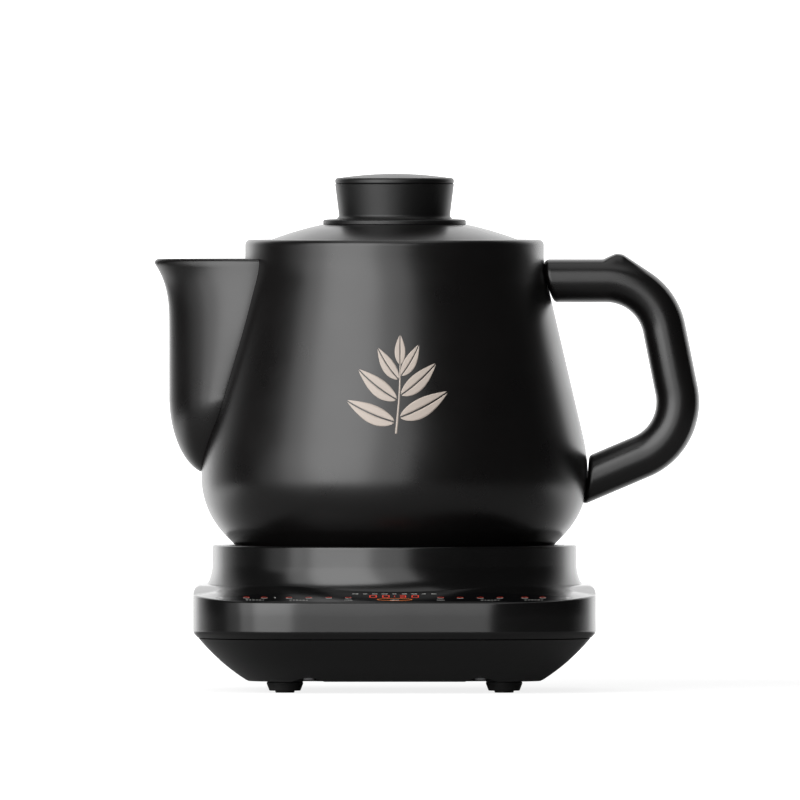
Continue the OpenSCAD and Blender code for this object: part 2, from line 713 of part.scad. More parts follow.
module base_housing() {
    color(MOULDING) difference() {
        union() {
            difference() {
                union() {
                    difference() {
                        round_tray(seam_z, top_z) band_profile();
                        above_panel(0);
                    }
                    intersection() {
                        rotate_extrude() collar_outline();
                        union() {
                            translate([0, 0, top_z - 1]) cylinder(r = collar_r + 8, h = collar_z);
                            plan_prism(shoulder_r, seam_z, top_z);
                        }
                    }
                }
                difference() {
                    round_tray(seam_z - 1, top_z - shell_t) band_room();
                    above_panel(panel_wall);
                }
                // Room under the collar, outside the recess that the pot stands in
                rotate_extrude() difference() {
                    translate([0, top_z - flare_h - 1])
                        square([collar_r - shell_t, collar_z - shell_t - top_z + flare_h + 1]);
                    pot_outline(-collar_gap - shell_t, collar_floor_z, foot_corner_r, rim_z);
                }
            }
            case_posts(case_boss_r, pocket_h + foot_h + chassis_t + fit_gap, panel_z + 5, collar_z - 3);
            pan_places() translate([0, 0, pan_flange_z + pan_t])
                cylinder(r = 3.8, h = recess_z - pan_flange_z);
            for (s = [-1, 1]) on_panel()
                translate([s * control_post.x, control_post.y, -panel_t - pad_h])
                    cylinder(r = 2.6, h = pad_h);
        }
        // Recess for the pot and opening for the plate
        rotate_extrude() pot_outline(-collar_gap, recess_z, foot_corner_r, rim_z);
        cylinder(r = plate_r + 0.6, h = big / 2);
        // Inlay pocket and the window under it
        panel_slab(fit_gap, panel_t + fit_gap / 2, 1);
        intersection() {
            plan_prism(panel_margin + ledge_w, 0, collar_z);
            on_panel() translate([-big / 2, window[0], -panel_wall - 1])
                cube([big, window[1] - window[0], panel_wall + 2]);
        }
        under_keys(pad_r + fit_gap);
        case_posts(case_screw_r + screw_gap, 0, panel_z - 8, panel_z);
        pan_places() cylinder(r = screw_r + screw_gap, h = recess_z - 2);
        for (s = [-1, 1]) on_panel() translate([s * control_post.x, control_post.y, -panel_t - pad_h - 1])
            cylinder(r = 1 + screw_gap, h = 4);
        inlet_place() {
            translate([-inlet_body.x / 2 - fit_gap, -inlet_body.y / 2 - fit_gap, -inlet_depth])
                cube([inlet_body.x + 2 * fit_gap, inlet_body.y + 2 * fit_gap, inlet_depth + 5]);
            for (s = [-1, 1]) translate([s * inlet_screw_x, 0, -10])
                cylinder(r = screw_r + screw_gap, h = 20);
        }
    }
}

// The inlay's space on the slope: gap is taken round it, depth below the face, rise above it
module panel_slab(gap, depth, rise) {
    intersection() {
        plan_prism(panel_margin - gap, 0, collar_z);
        on_panel() translate([-big / 2, -big / 4, -depth])
            cube([big, big / 4 + panel_l - 1.5 + gap, depth + rise]);
    }
}

module control_panel() {
    color(GLOSS) panel_slab(0, panel_t, 0);
}

// Outline of the lower shell: an arc through its head and foot
module chassis_profile(t) {
    mid = (chassis_foot + chassis_head) / 2;
    run = chassis_head - chassis_foot;
    rise = sqrt(pow(bulge_r, 2) - pow(norm(run) / 2, 2));
    c = mid + rise * [-run.y, run.x] / norm(run);
    intersection() {
        translate([0, foot_h + t]) square([corner_r, chassis_top_z - foot_h - t + (t > 0 ? 1 : 0)]);
        translate(c) circle(bulge_r - t, $fn = 180);
    }
}

module chassis() {
    tongue_x = corner_r - seam_in - shell_t - 2.4;
    color(MOULDING) difference() {
        union() {
            round_tray(foot_h, foot_h + chassis_t) {
                difference() {
                    chassis_profile(0);
                    chassis_profile(chassis_t);
                }
            }
            // Tongue that locates the upper shell
            difference() {
                plan_prism(corner_r - tongue_x - 1.5, chassis_top_z - 5, seam_z + 3.5);
                plan_prism(corner_r - tongue_x, chassis_top_z - 6, seam_z + 4.5);
            }
            intersection() {
                round_tray(foot_h, chassis_top_z) chassis_profile(0);
                case_posts(pocket_r + chassis_t, 0, foot_h + pocket_h + chassis_t,
                    foot_h + pocket_h + chassis_t);
            }
            power_board_places() translate([0, 0, foot_h + 1])
                cylinder(r = post_r, h = power_board_z - foot_h - 1);
        }
        case_posts(pocket_r, 0, foot_h + pocket_h, foot_h + pocket_h);
        case_posts(case_screw_r + 0.3, 0, big / 8, big / 8);
        power_board_places() translate([0, 0, power_board_z - 6]) cylinder(r = 1 + screw_gap, h = 7);
        for (s = [-1, 1], y = [foot_front_y, foot_back_y])
            translate([s * foot_x, y, 0]) cylinder(r = foot_peg_r + 0.1, h = big / 8);
    }
}

module case_screws() {
    color(STEEL) {
        for (s = [-1, 1]) {
            translate([s * case_front.x, -case_front.y, foot_h + pocket_h])
                screw(case_screw_r, case_head_r, 2.4, panel_z - 12 - foot_h - pocket_h);
            translate([s * case_back.x, case_back.y, foot_h + pocket_h])
                screw(case_screw_r, case_head_r, 2.4, panel_z - 12 - foot_h - pocket_h);
        }
    }
}

// Rubber foot: a cone with a small pad under it and a barbed peg
module foot_at(x, y) {
    color(RUBBER) translate([x, y, 0]) {
        cylinder(r = foot_pad_r, h = foot_pad_h + 1);
        translate([0, 0, foot_pad_h]) cylinder(r1 = foot_tip_r, r2 = foot_r, h = foot_h - foot_pad_h);
        translate([0, 0, foot_h - 1]) cylinder(r = foot_peg_r, h = chassis_t + 1.2);
        translate([0, 0, foot_h + chassis_t + 0.1]) cylinder(r1 = foot_peg_r + 0.9, r2 = 1.6, h = 2.4);
    }
}

module foot_front_left() foot_at(-foot_x, foot_front_y);
module foot_front_right() foot_at(foot_x, foot_front_y);
module foot_back_left() foot_at(-foot_x, foot_back_y);
module foot_back_right() foot_at(foot_x, foot_back_y);

// ---------- Heater ----------

module heating_plate() {
    color(ALUMINIUM) difference() {
        union() {
            translate([0, 0, plate_flange_z - eps]) cylinder(r = plate_r, h = pot_z - plate_flange_z + eps);
            translate([0, 0, plate_low_z]) cylinder(r = plate_flange_r, h = plate_flange_z - plate_low_z);
            plate_places() translate([0, 0, pan_floor_z])
                cylinder(r = plate_post_r, h = plate_low_z - pan_floor_z + 1);
        }
        cylinder(r = plate_hole_r, h = big / 2);
        plate_places() cylinder(r = screw_r + screw_gap, h = plate_low_z - 2);
    }
}

module plate_seal() {
    color(SILICONE) translate([0, 0, plate_flange_z]) difference() {
        cylinder(r = plate_flange_r - 0.2, h = seal_t);
        translate([0, 0, -1]) cylinder(r = plate_r + 0.2, h = seal_t + 2);
    }
}

// C-shaped tube, flattened where it is brazed to the plate, with a pin and a tab at each end
module heating_element() {
    tube_z = plate_low_z - element_r + 0.4;
    tube_over = asin(element_r / element_ring_r);
    color(STEEL) {
        intersection() {
            translate([0, 0, tube_z]) rotate([0, 0, 90 + gap_angle / 2 - tube_over])
                rotate_extrude(angle = 360 - gap_angle + 2 * tube_over)
                    translate([element_ring_r, 0]) circle(element_r);
            translate([0, 0, pan_floor_z]) cylinder(r = plate_r, h = plate_low_z - pan_floor_z);
        }
        for (a = [90 - gap_angle / 2, 90 + gap_angle / 2]) rotate([0, 0, a])
            translate([element_ring_r, 0, 0]) {
                translate([0, 0, pan_z - 5]) cylinder(r = element_r - 0.8, h = tube_z - pan_z + 5.5);
                translate([-3.15, -0.4, pan_z - 11]) cube([6.3, 0.8, 7]);
            }
    }
}

module heat_shield() {
    color(STEEL) difference() {
        rotate_extrude() {
            translate([0, pan_z]) square([pan_r + pan_t, pan_t]);
            translate([pan_r, pan_z]) square([pan_t, pan_flange_z + pan_t - pan_z]);
            translate([pan_r, pan_flange_z]) square([pan_flange_r - pan_r, pan_t]);
        }
        pan_places() cylinder(r = screw_r + 0.2, h = big / 2);
        plate_places() cylinder(r = screw_r + 0.2, h = big / 2);
        for (a = [90 - gap_angle / 2, 90 + gap_angle / 2]) rotate([0, 0, a])
            translate([element_ring_r, 0, 0]) cylinder(r = element_r + 1, h = big / 2);
    }
}

module plate_screws() {
    color(STEEL) plate_places() translate([0, 0, pan_z])
        screw(screw_r, screw_head_r, screw_head_h, plate_low_z - 3 - pan_z);
}

module shield_screws() {
    color(STEEL) pan_places() translate([0, 0, pan_flange_z])
        screw(screw_r, screw_head_r, screw_head_h, recess_z - 3 - pan_flange_z);
}

module probe() {
    color(ALUMINIUM) {
        translate([0, 0, probe_flange_z]) cylinder(r = probe_r, h = probe_top_z - probe_flange_z);
        translate([0, 0, probe_flange_z - probe_flange_t]) cylinder(r = probe_flange_r, h = probe_flange_t);
        translate([0, 0, holder_floor_z + probe_travel + 0.3])
            cylinder(r = probe_stem_r, h = probe_flange_z - holder_floor_z - probe_travel - 1);
    }
}

// Guide tube: its inward lip is the probe's upper stop
module probe_holder() {
    lip_t = 1.4;
    color(STEEL) difference() {
        translate([0, 0, pan_floor_z])
            cylinder(r = holder_r + holder_wall, h = probe_flange_z + joint_gap + lip_t - pan_floor_z);
        translate([0, 0, holder_floor_z])
            cylinder(r = holder_r, h = probe_flange_z + joint_gap - holder_floor_z);
        translate([0, 0, holder_floor_z]) cylinder(r = probe_r + slide_gap, h = big / 4);
    }
}

// One unbroken wire that winds up from the holder's floor to the probe's flange
module probe_spring() {
    sides = 6;
    steps = 16;
    low = holder_floor_z + spring_wire_r;
    high = probe_flange_z - probe_flange_t - spring_wire_r;
    n = spring_turns * steps;
    function centre(i) = [spring_r * cos(360 * i / steps), spring_r * sin(360 * i / steps),
        low + (high - low) * min(1, max(0, (i - steps * 0.75) / (n - steps * 1.5)))];
    function ring(i) = [for (k = [0:sides - 1]) let (a = 360 * k / sides, s = 360 * i / steps)
        centre(i) + spring_wire_r * [cos(a) * cos(s), cos(a) * sin(s), sin(a)]];
    points = [for (i = [0:n]) each ring(i)];
    skin = [for (i = [0:n - 1], k = [0:sides - 1])
        let (p = i * sides + k, q = i * sides + (k + 1) % sides)
        each [[p, q + sides, q], [p, p + sides, q + sides]]];
    color(STEEL) polyhedron(points, concat(skin,
        [for (k = [1:sides - 2]) [0, k, k + 1]],
        [for (k = [1:sides - 2]) [n * sides, n * sides + k + 1, n * sides + k]]), convexity = 8);
}

module thermal_cutout() {
    translate([0, -element_ring_r / 2 - 4, 0]) {
        color(STEEL) {
            translate([0, 0, plate_low_z - 3]) cylinder(r = 8, h = 3);
            translate([-12, -2.5, pan_floor_z]) cube([3, 5, plate_low_z - 4 - pan_floor_z]);
            translate([-12, -2.5, plate_low_z - 4]) cube([12, 5, 1.5]);
            translate([3, -3.15, pan_floor_z + 1]) cube([0.8, 6.3, 4]);
        }
        color(BOARD) translate([0, 0, pan_floor_z + 4.5])
            cylinder(r = 7, h = plate_low_z - 3 - pan_floor_z - 4.5 + 0.5);
    }
}

// ---------- Electronics ----------

key_x = [for (s = [-1, 1], i = [0:5]) s * (key_inner + i * key_pitch)];

module control_board() {
    color(BOARD) difference() {
        intersection() {
            plan_prism(shell_t + 1.2, 0, collar_z);
            on_panel() translate([-big / 2, control_board_y[0], -panel_t - pad_h - board_t])
                cube([big, control_board_y[1] - control_board_y[0], board_t]);
        }
        for (s = [-1, 1]) on_panel() translate([s * control_post.x, control_post.y, -big / 8])
            cylinder(r = 1.2, h = big / 8);
    }
}

module display_module() {
    color(GLOSS) on_panel() translate([-display_w / 2, key_y - 4, -panel_t - pad_h])
        cube([display_w, 9, pad_h]);
}

// Posts of radius r under the keys and the start key
module under_keys(r) {
    on_panel() for (p = concat([for (x = key_x) [pad_share * x, key_y]], [[0, start_y]]))
        translate([p.x, p.y, -panel_t - pad_h]) cylinder(r = r, h = pad_h, $fn = 32);
}

module touch_pads() {
    color(RUBBER) under_keys(pad_r);
}

module power_board_places() {
    for (x = [-post_dx, post_dx], y = [-post_dy, post_dy]) translate([x, power_board_y + y, 0]) children();
}

module power_board() {
    face_z = power_board_z + board_t;
    color(BOARD) difference() {
        translate([-power_board.x / 2, power_board_y - power_board.y / 2, power_board_z])
            cube([power_board.x, power_board.y, board_t]);
        power_board_places() cylinder(r = 1.2, h = big / 8);
    }
    // Transformer, relay, terminal block, capacitors and the driver's heat sink
    color(GLOSS) translate([14, -8, face_z]) cube([22, 19, 16]);
    color("royalblue") translate([-38, -8, face_z]) cube([19, 15.5, 15.2]);
    color("green") translate([-20, 46, face_z]) cube([40, 9, 10]);
    color(GLOSS) for (x = [-10, 4]) translate([x, 2, face_z]) cylinder(r = 5, h = 14);
    color(ALUMINIUM) for (i = [0:4]) translate([-40 + 4 * i, 22, face_z]) cube([1.5, 14, 12]);
    color(ALUMINIUM) translate([-40, 22, face_z]) cube([17.5, 14, 2]);
}

module board_screws() {
    color(STEEL) {
        power_board_places() translate([0, 0, power_board_z + board_t]) rotate([180, 0, 0])
            screw(1, 2.4, 1.6, 6);
        for (s = [-1, 1]) on_panel()
            translate([s * control_post.x, control_post.y, -panel_t - pad_h - board_t])
                screw(1, 2.2, 1.4, 4);
    }
}

// Places children on the back of the band: x along it, y up, z out of it
module inlet_place() {
    translate([0, base_back, inlet_z]) rotate([90, 0, 180]) children();
}

// Three-pin mains inlet with its flange on the outside of the band
module power_inlet() {
    floor_t = 2.5;
    color(RUBBER) inlet_place() difference() {
        union() {
            translate([-inlet_flange.x / 2, -inlet_flange.y / 2, 0])
                cube([inlet_flange.x, inlet_flange.y, inlet_flange_t]);
            translate([-inlet_body.x / 2, -inlet_body.y / 2, -inlet_depth])
                cube([inlet_body.x, inlet_body.y, inlet_depth + eps]);
        }
        translate([-inlet_cavity.x / 2, -inlet_cavity.y / 2, floor_t - inlet_depth])
            cube([inlet_cavity.x, inlet_cavity.y, inlet_depth]);
        for (s = [-1, 1]) translate([s * inlet_screw_x, 0, -1]) cylinder(r = screw_r + 0.2, h = 5);
    }
    color(BRASS) inlet_place() for (p = [[-7, 2], [0, -2], [7, 2]])
        translate([p.x - 1, p.y - 2, -inlet_depth - 6]) cube([2, 4, inlet_depth + 4]);
}

module inlet_screws() {
    color(STEEL) inlet_place() for (s = [-1, 1]) translate([s * inlet_screw_x, 0, inlet_flange_t])
        rotate([180, 0, 0]) screw(screw_r, screw_head_r, 1.4, inlet_flange_t + shell_t + 3);
}

// ---------- Assembly ----------

pot_body();
spout();
spout_strainer();
handle();
lid();
lid_knob();
knob_cap();
knob_screw();
knob_washer();
base_housing();
control_panel();
chassis();
heating_plate();
plate_seal();
heating_element();
heat_shield();
plate_screws();
shield_screws();
probe();
probe_holder();
probe_spring();
thermal_cutout();
control_board();
display_module();
touch_pads();
power_board();
board_screws();
case_screws();
power_inlet();
inlet_screws();
foot_front_left();
foot_front_right();
foot_back_left();
foot_back_right();
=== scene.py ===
"""Looks of the herbal decoction pot on its heated base, laid out as a Blender add-on.

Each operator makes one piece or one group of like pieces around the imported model. Pieces are
surfaces worked out with numpy, in metres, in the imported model's frame: +Z is up, the pot's axis
is the Z axis, the spout points to -X, the handle to +X and the touch panel to -Y.
"""

import bmesh
import bpy
import numpy as np
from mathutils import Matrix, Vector


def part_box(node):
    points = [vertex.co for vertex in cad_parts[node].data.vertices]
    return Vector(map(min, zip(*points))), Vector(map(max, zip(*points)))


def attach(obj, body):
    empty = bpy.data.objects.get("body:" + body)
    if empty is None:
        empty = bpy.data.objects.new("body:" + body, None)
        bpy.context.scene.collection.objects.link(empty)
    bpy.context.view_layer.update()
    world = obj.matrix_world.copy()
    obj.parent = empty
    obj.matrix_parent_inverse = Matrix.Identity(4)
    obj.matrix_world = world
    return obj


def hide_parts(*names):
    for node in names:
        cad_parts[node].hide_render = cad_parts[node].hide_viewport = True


bl_info = {
    "name": "Herbal decoction pot",
    "version": (1, 0, 0),
    "blender": (4, 5, 0),
    "location": "3D View > Sidebar > Pot",
    "description": "Builds the visible pieces and finishes of a ceramic pot on its heated base",
    "category": "Add Mesh",
}

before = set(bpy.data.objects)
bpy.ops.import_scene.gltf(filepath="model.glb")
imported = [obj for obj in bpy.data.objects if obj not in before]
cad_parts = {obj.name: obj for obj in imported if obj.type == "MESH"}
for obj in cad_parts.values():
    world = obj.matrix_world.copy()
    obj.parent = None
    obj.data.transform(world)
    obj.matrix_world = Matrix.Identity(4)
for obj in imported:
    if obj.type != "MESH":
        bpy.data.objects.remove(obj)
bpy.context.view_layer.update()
POT_LOW, POT_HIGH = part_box("pot_body")
LID_LOW, LID_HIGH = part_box("lid")
CAP_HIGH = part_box("knob_cap")[1]
HOUSING_LOW, HOUSING_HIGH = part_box("base_housing")
PLATE_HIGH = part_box("heating_plate")[1]
CHASSIS_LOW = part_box("chassis")[0]
MM = 0.001
AROUND = 288  # columns of a turned surface
LUTED = 0.1 * MM  # gap between the pot's wall and what is luted to it
PRINT = 0.03 * MM  # height of a print above its ground
CORNER = 9  # points that stand for each corner of a rounded outline


# ---------- Settings ----------


def length(name, description, default):
    """Size setting in metres."""
    return bpy.props.FloatProperty(
        name=name, description=description, default=default, precision=5, unit="LENGTH"
    )


def angle(name, description, degrees):
    """Angle setting, given in degrees."""
    return bpy.props.FloatProperty(
        name=name, description=description, default=np.radians(degrees), unit="ROTATION"
    )


def share(name, description, default):
    """Setting without a unit."""
    return bpy.props.FloatProperty(name=name, description=description, default=default)


def tint(name, description, default):
    """Colour setting, given as an sRGB hex value."""
    return bpy.props.StringProperty(name=name, description=description, default=default)


class HerbPotBody(bpy.types.PropertyGroup):
    """Sizes of the pot, its spout and its handle."""

    rim_r: length("Rim radius", "Outer radius of the upright rim band", 0.0822)
    belly_r: length("Belly radius", "Largest outer radius", POT_HIGH.x)
    belly_h: length("Belly height", "Height of the widest level above the foot", 0.0515)
    upper_r: length("Shoulder arc", "Radius of the outline above the widest level", 0.1)
    lower_r: length("Lower arc", "Radius of the outline below the widest level", 0.046)
    neck_r: length("Neck arc", "Radius of the hollow blend into the rim", 0.06)
    band_h: length("Rim band", "Height of the upright band below the rim", 0.0088)
    wall: length("Wall", "Thickness of the ceramic wall", 0.006)
    floor_t: length("Floor", "Thickness of the pot's floor", 0.007)
    foot_r: length("Foot corner", "Radius of the foot's corner", 0.008)
    mouth_r: length("Mouth radius", "Radius of the bore for the lid's skirt", 0.066)
    seat_depth: length("Seat depth", "Depth of the step that carries the lid", 0.004)
    rim_round: length("Rim rounding", "Rounding of the rim's outer edge", 0.003)
    strainer_r: length("Strainer radius", "Radius of the perforated disc", 0.021)
    spout_reach: length("Spout reach", "Distance of the spout's front from the axis", 0.124)
    lip_out: length("Lip lean", "How far the lip leans out beyond the front", 0.01)
    spout_half: length("Spout half width", "Half width where the lower curve begins", 0.0318)
    spout_mouth: length("Mouth half width", "Half width of the spout's mouth", 0.0358)
    lip_drop: length("Lip drop", "Height of the lip below the rim", 0.0105)
    spout_foot_h: length("Spout foot", "Height where the spout leaves the body", 0.0542)
    spout_bend_h: length("Spout bend", "Height where the lower curve begins", 0.096)
    spout_wall: length("Spout wall", "Thickness of the spout", 0.005)
    arm_drop: length("Arm drop", "Upper arm's centreline below the rim", 0.0227)
    bend_x: length("Bend centre", "Upper bend's centre from the pot's axis", 0.1163)
    bend_r: length("Bend radius", "Centreline radius of both bends", 0.03265)
    grip_lean: angle("Grip lean", "Angle by which the grip leans outwards", 11.3)
    grip_l: length("Grip length", "Length of the straight grip", 0.0347)
    arm_slope: angle("Arm slope", "Slope of the lower arm", 23)
    handle_t: length("Handle thickness", "From the inside to the back", 0.0238)
    handle_r: length("Handle flank radius", "Radius of the inside and flanks", 0.0126)
    handle_back_r: length("Handle back radius", "Radius of the flatter back", 0.018)
    thumb_rise: length("Thumb rest", "Rise of the thumb rest over the bend", 0.0036)
    sprig_h: length("Sprig height", "Height of the sprig printed on the front", 0.05)


class HerbPotLid(bpy.types.PropertyGroup):
    """Sizes of the lid and its knob."""

    dome_r: length("Dome radius", "Radius of the sphere of the lid's dome", 0.191)
    lid_t: length("Lid thickness", "Thickness of the lid", 0.005)
    edge_h: length("Edge height", "Height of the lid's upright edge", 0.0028)
    skirt_t: length("Skirt thickness", "Thickness of the locating skirt", 0.0045)
    flange_r: length("Flange radius", "Radius of the knob's flange", 0.0393)
    foot_r: length("Knob foot radius", "Radius of the knob at its foot", 0.0305)
    top_r: length("Knob top radius", "Radius of the knob at its top", 0.0327)
    knob_h: length("Knob height", "Height of the knob's side above the lid", 0.0183)
    cap_edge_h: length("Cap edge", "Height of the cap's edge", 0.003)
    cap_round: length("Cap rounding", "Rounding of the cap's edge", 0.0016)


class HerbPotBase(bpy.types.PropertyGroup):
    """Sizes of the heated base."""

    corner_r: length("Corner radius", "Radius of the corners in plan", 0.062)
    top_z: length("Top height", "Height of the base's top", 0.0583)
    collar_w: length("Collar width", "Width of the collar's wall beyond the pot", 0.0124)
    collar_gap: length("Collar gap", "Room between the pot and the collar", 0.0012)
    flare_r: length("Flare radius", "Radius of the flare at the collar's foot", 0.0225)
    flare_h: length("Flare height", "Height where the flare begins", 0.011)
    shell_t: length("Shell", "Thickness of the moulded shells", 0.0025)
    shoulder_r: length("Shoulder", "Rounding along the top edge", 0.0044)
    edge_r: length("Panel edge", "Rounding along the sloping front's edge", 0.001)
    seam_z: length("Seam height", "Height of the seam between the shells", 0.03)
    seam_in: length("Tuck", "How far the band tucks in at the seam", 0.0026)
    tuck_a: angle("Tuck slope", "Slope of the tuck above the seam", 43)
    soft_r: length("Soft edge", "Soft edge between the band and its tuck", 0.003)
    panel_tilt: angle("Panel slope", "Slope of the sloping front", 9.8)
    panel_l: length("Panel length", "Length of the slope", 0.032)
    panel_z: length("Panel height", "Height of the slope's front edge", 0.05)
    panel_lift: length("Panel lift", "How far the slope's edge climbs round the corners", 0.0033)
    panel_in: length("Inlay inset", "Rim of housing left around the inlay", 0.0036)
    foot_in: length("Shell foot", "How far the lower shell tucks in", 0.0301)
    bulge_r: length("Bulge radius", "Radius of the lower shell's bulge", 0.113)
    pocket_r: length("Pocket radius", "Radius of the screw pockets", 0.011)
    pocket_h: length("Pocket depth", "Depth of the screw pockets", 0.0032)
    foot_r: length("Rubber foot", "Radius of a rubber foot", 0.0105)


class HerbPotFinish(bpy.types.PropertyGroup):
    """Colours of the finishes."""

    glaze: tint("Glaze", "Satin black glaze", "#080707")
    moulding: tint("Moulding", "Black moulded plastic", "#070707")
    inlay: tint("Inlay", "Glossy black inlay", "#060607")
    sprig: tint("Sprig", "Printed sprig on the pot", "#A79C93")
    white: tint("Print", "White print on the inlay", "#D8D8D4")
    red: tint("Lit red", "Red arcs and digits", "#E03A22")
    amber: tint("Lit amber", "Start key's ring", "#D9702A")
    rubber: tint("Rubber", "Feet", "#161616")
    aluminium: tint("Aluminium", "Cast heating plate", "#A9A9A8")
    steel: tint("Steel", "Probe, shield and screws", "#B4B4B6")


class HerbPotStage(bpy.types.PropertyGroup):
    """Camera and light."""

    distance: length("Camera distance", "From the camera to the pot", 18.0)
    elevation: angle("Camera elevation", "Height angle of the camera", 0.5)
    width: length("Frame width", "Width seen at the pot's axis", 0.44)
    aim_x: length("Aim X", "Middle of the frame beside the axis", 0.003)
    aim_z: length("Aim Z", "Middle of the frame above the floor", 0.1595)
    key_power: share("Key light", "Power of the wide soft light in watts", 42.0)
    accent_power: share("Accent light", "Power of the soft light in front of it in watts", 20.0)
    rim_power: share("Rim lights", "Power of each strip behind the pot in watts", 1.5)
    key_angle: angle("Key direction", "Direction of the soft lights, left of the camera", 34)
    fill: share("Fill", "Strength of the surroundings in front of the pot", 0.04)
    rear: share("Rear white", "Strength of the white that reflections see behind the pot", 1.8)
    tail: share("Left tail", "Strength of the surroundings on the left", 0.75)
    top_power: share("Top light", "Power of the soft light overhead in watts", 4.5)
    glow: share("Floor glow", "Share of white that the floor keeps in shadow", 0.84)
    floor_colour: tint("Floor", "Floor colour", "#8C8C8C")
    floor_r: length("Floor radius", "Radius of the round floor", 1.0)


GROUPS = {
    "herb_pot_body": HerbPotBody,
    "herb_pot_lid": HerbPotLid,
    "herb_pot_base": HerbPotBase,
    "herb_pot_finish": HerbPotFinish,
    "herb_pot_stage": HerbPotStage,
}


# ---------- Shapes ----------


def unit(a):
    """Unit vectors at angles a, as the last axis of the result."""
    return np.stack([np.cos(a), np.sin(a)], -1)


def arc(centre, r, start, end, n=24):
    """n points on a circle, from start to end in radians."""
    return np.asarray(centre) + r * unit(np.linspace(start, end, n))


def rounded(corners, steps=CORNER - 2, closed=False):
    """Polyline through corners [x, y, radius], each corner replaced by a tangent arc.

    The arc runs between the tangent points of both legs, its direction turned evenly (slerp).
    A point a little before and after each arc keeps the shading of the flat stretches flat.
    """
    corners = np.asarray(corners, float)
    p, r = corners[:, :2], corners[:, 2:3]
    back, ahead = np.roll(p, 1, 0) - p, np.roll(p, -1, 0) - p
    back_l = np.linalg.norm(back, axis=1, keepdims=True)
    ahead_l = np.linalg.norm(ahead, axis=1, keepdims=True)
    back, ahead = back / back_l, ahead / ahead_l
    half = np.arccos(np.clip((back * ahead).sum(1, keepdims=True), -1, 1)) / 2
    cut = r / np.tan(half)
    middle = back + ahead
    middle /= np.maximum(np.linalg.norm(middle, axis=1, keepdims=True), 1e-9)
    centre = p + middle * r / np.sin(half)
    first = (p + back * cut - centre) / np.maximum(r, 1e-12)
    last = (p + ahead * cut - centre) / np.maximum(r, 1e-12)
    turn = np.maximum(np.pi - 2 * half, 1e-6)[:, None]
    k = np.linspace(0, 1, steps)[None, :, None]
    swing = np.sin((1 - k) * turn) * first[:, None] + np.sin(k * turn) * last[:, None]
    bend = centre[:, None] + r[:, None] * swing / np.sin(turn)
    lead = np.minimum(cut * 1.25, cut + 0.0003)
    before = np.where(r > 0, p + back * np.minimum(lead, back_l * 0.98), p)
    after = np.where(r > 0, p + ahead * np.minimum(lead, ahead_l * 0.98), p)
    bend = np.where(r[:, None] > 0, bend, p[:, None])
    points = np.concatenate([before[:, None], bend, after[:, None]], 1)
    if not closed:
        points[0], points[-1] = p[0], p[-1]
    return points.reshape(-1, 2)


def turned(profile, centre=(0, 0), columns=AROUND):
    """Surface of a profile [radius, height] turned round a vertical axis: rows x columns x 3."""
    profile = np.asarray(profile, float)
    a = unit(np.arange(columns) * 2 * np.pi / columns)
    flat = profile[:, None, :1] * a[None] + np.asarray(centre)
    return np.dstack([flat, np.broadcast_to(profile[:, None, 1:], (*flat.shape[:2], 1))])


def make_piece(name, surfaces, body, finish, replaces=(), sharp=32, smooth=True):
    """Object from surfaces (points, rows closed, columns closed), riding on a body.

    Points are a grid, or several grids of one size along the first axis. Face (i, j) joins point
    (i, j) to its neighbours ahead. Doubles, such as a pole, are merged and faces turned outwards.
    """
    points, faces, start = [], [], 0
    for grid, rows_closed, columns_closed in surfaces:
        grid = np.asarray(grid, float)
        sets, rows, columns = (1, *grid.shape[:2]) if grid.ndim == 3 else grid.shape[:3]
        counts = (rows - (not rows_closed), columns - (not columns_closed), sets)
        i, j, k = np.indices(counts)
        i2, j2 = (i + 1) % rows, (j + 1) % columns
        low, high = (start + (k * rows + row) * columns for row in (i, i2))
        faces.append(np.stack([low + j, low + j2, high + j2, high + j], -1).reshape(-1, 4))
        points.append(grid.reshape(-1, 3))
        start += sets * rows * columns
    mesh = bpy.data.meshes.new(name)
    mesh.from_pydata(np.vstack(points).tolist(), [], np.vstack(faces).tolist())
    piece = bpy.data.objects.new(name, mesh)
    bpy.context.scene.collection.objects.link(piece)
    tidy_mesh(mesh, sharp, smooth)
    mesh.materials.append(finish)
    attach(piece, body)
    if replaces:
        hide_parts(*replaces)
    return piece


def make_turned(name, profile, body, finish, slot, node, closed=False, **turning):
    """Piece turned from a profile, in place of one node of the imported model."""
    surface = (turned(profile, **turning), closed, True)
    return make_piece(name, [surface], body, finish, [node])


def tidy_mesh(mesh, sharp, smooth):
    """Merges doubles, drops collapsed faces, turns faces outwards and shades by angle."""
    shape = bmesh.new()
    shape.from_mesh(mesh)
    bmesh.ops.remove_doubles(shape, verts=shape.verts, dist=2e-6)
    bmesh.ops.dissolve_degenerate(shape, edges=shape.edges, dist=1e-7)
    bmesh.ops.recalc_face_normals(shape, faces=shape.faces)
    shape.to_mesh(mesh)
    shape.free()
    if smooth:
        shade(mesh, sharp)


def shade(mesh, sharp):
    """Smooth shading, with edges over sharp degrees kept."""
    mesh.shade_smooth()
    mesh.set_sharp_from_angle(angle=np.radians(sharp))


def carve(piece, surfaces, sharp=32):
    """Cuts closed surfaces out of a piece."""
    cutter = make_piece("cutter", surfaces, "base", piece.data.materials[0])
    step = piece.modifiers.new("cut", "BOOLEAN")
    step.operation, step.solver, step.object = "DIFFERENCE", "EXACT", cutter
    bpy.context.view_layer.update()
    seen = piece.evaluated_get(bpy.context.evaluated_depsgraph_get())
    mesh = bpy.data.meshes.new_from_object(seen)
    piece.modifiers.clear()
    piece.data = mesh
    bpy.data.objects.remove(cutter)
    shade(mesh, sharp)


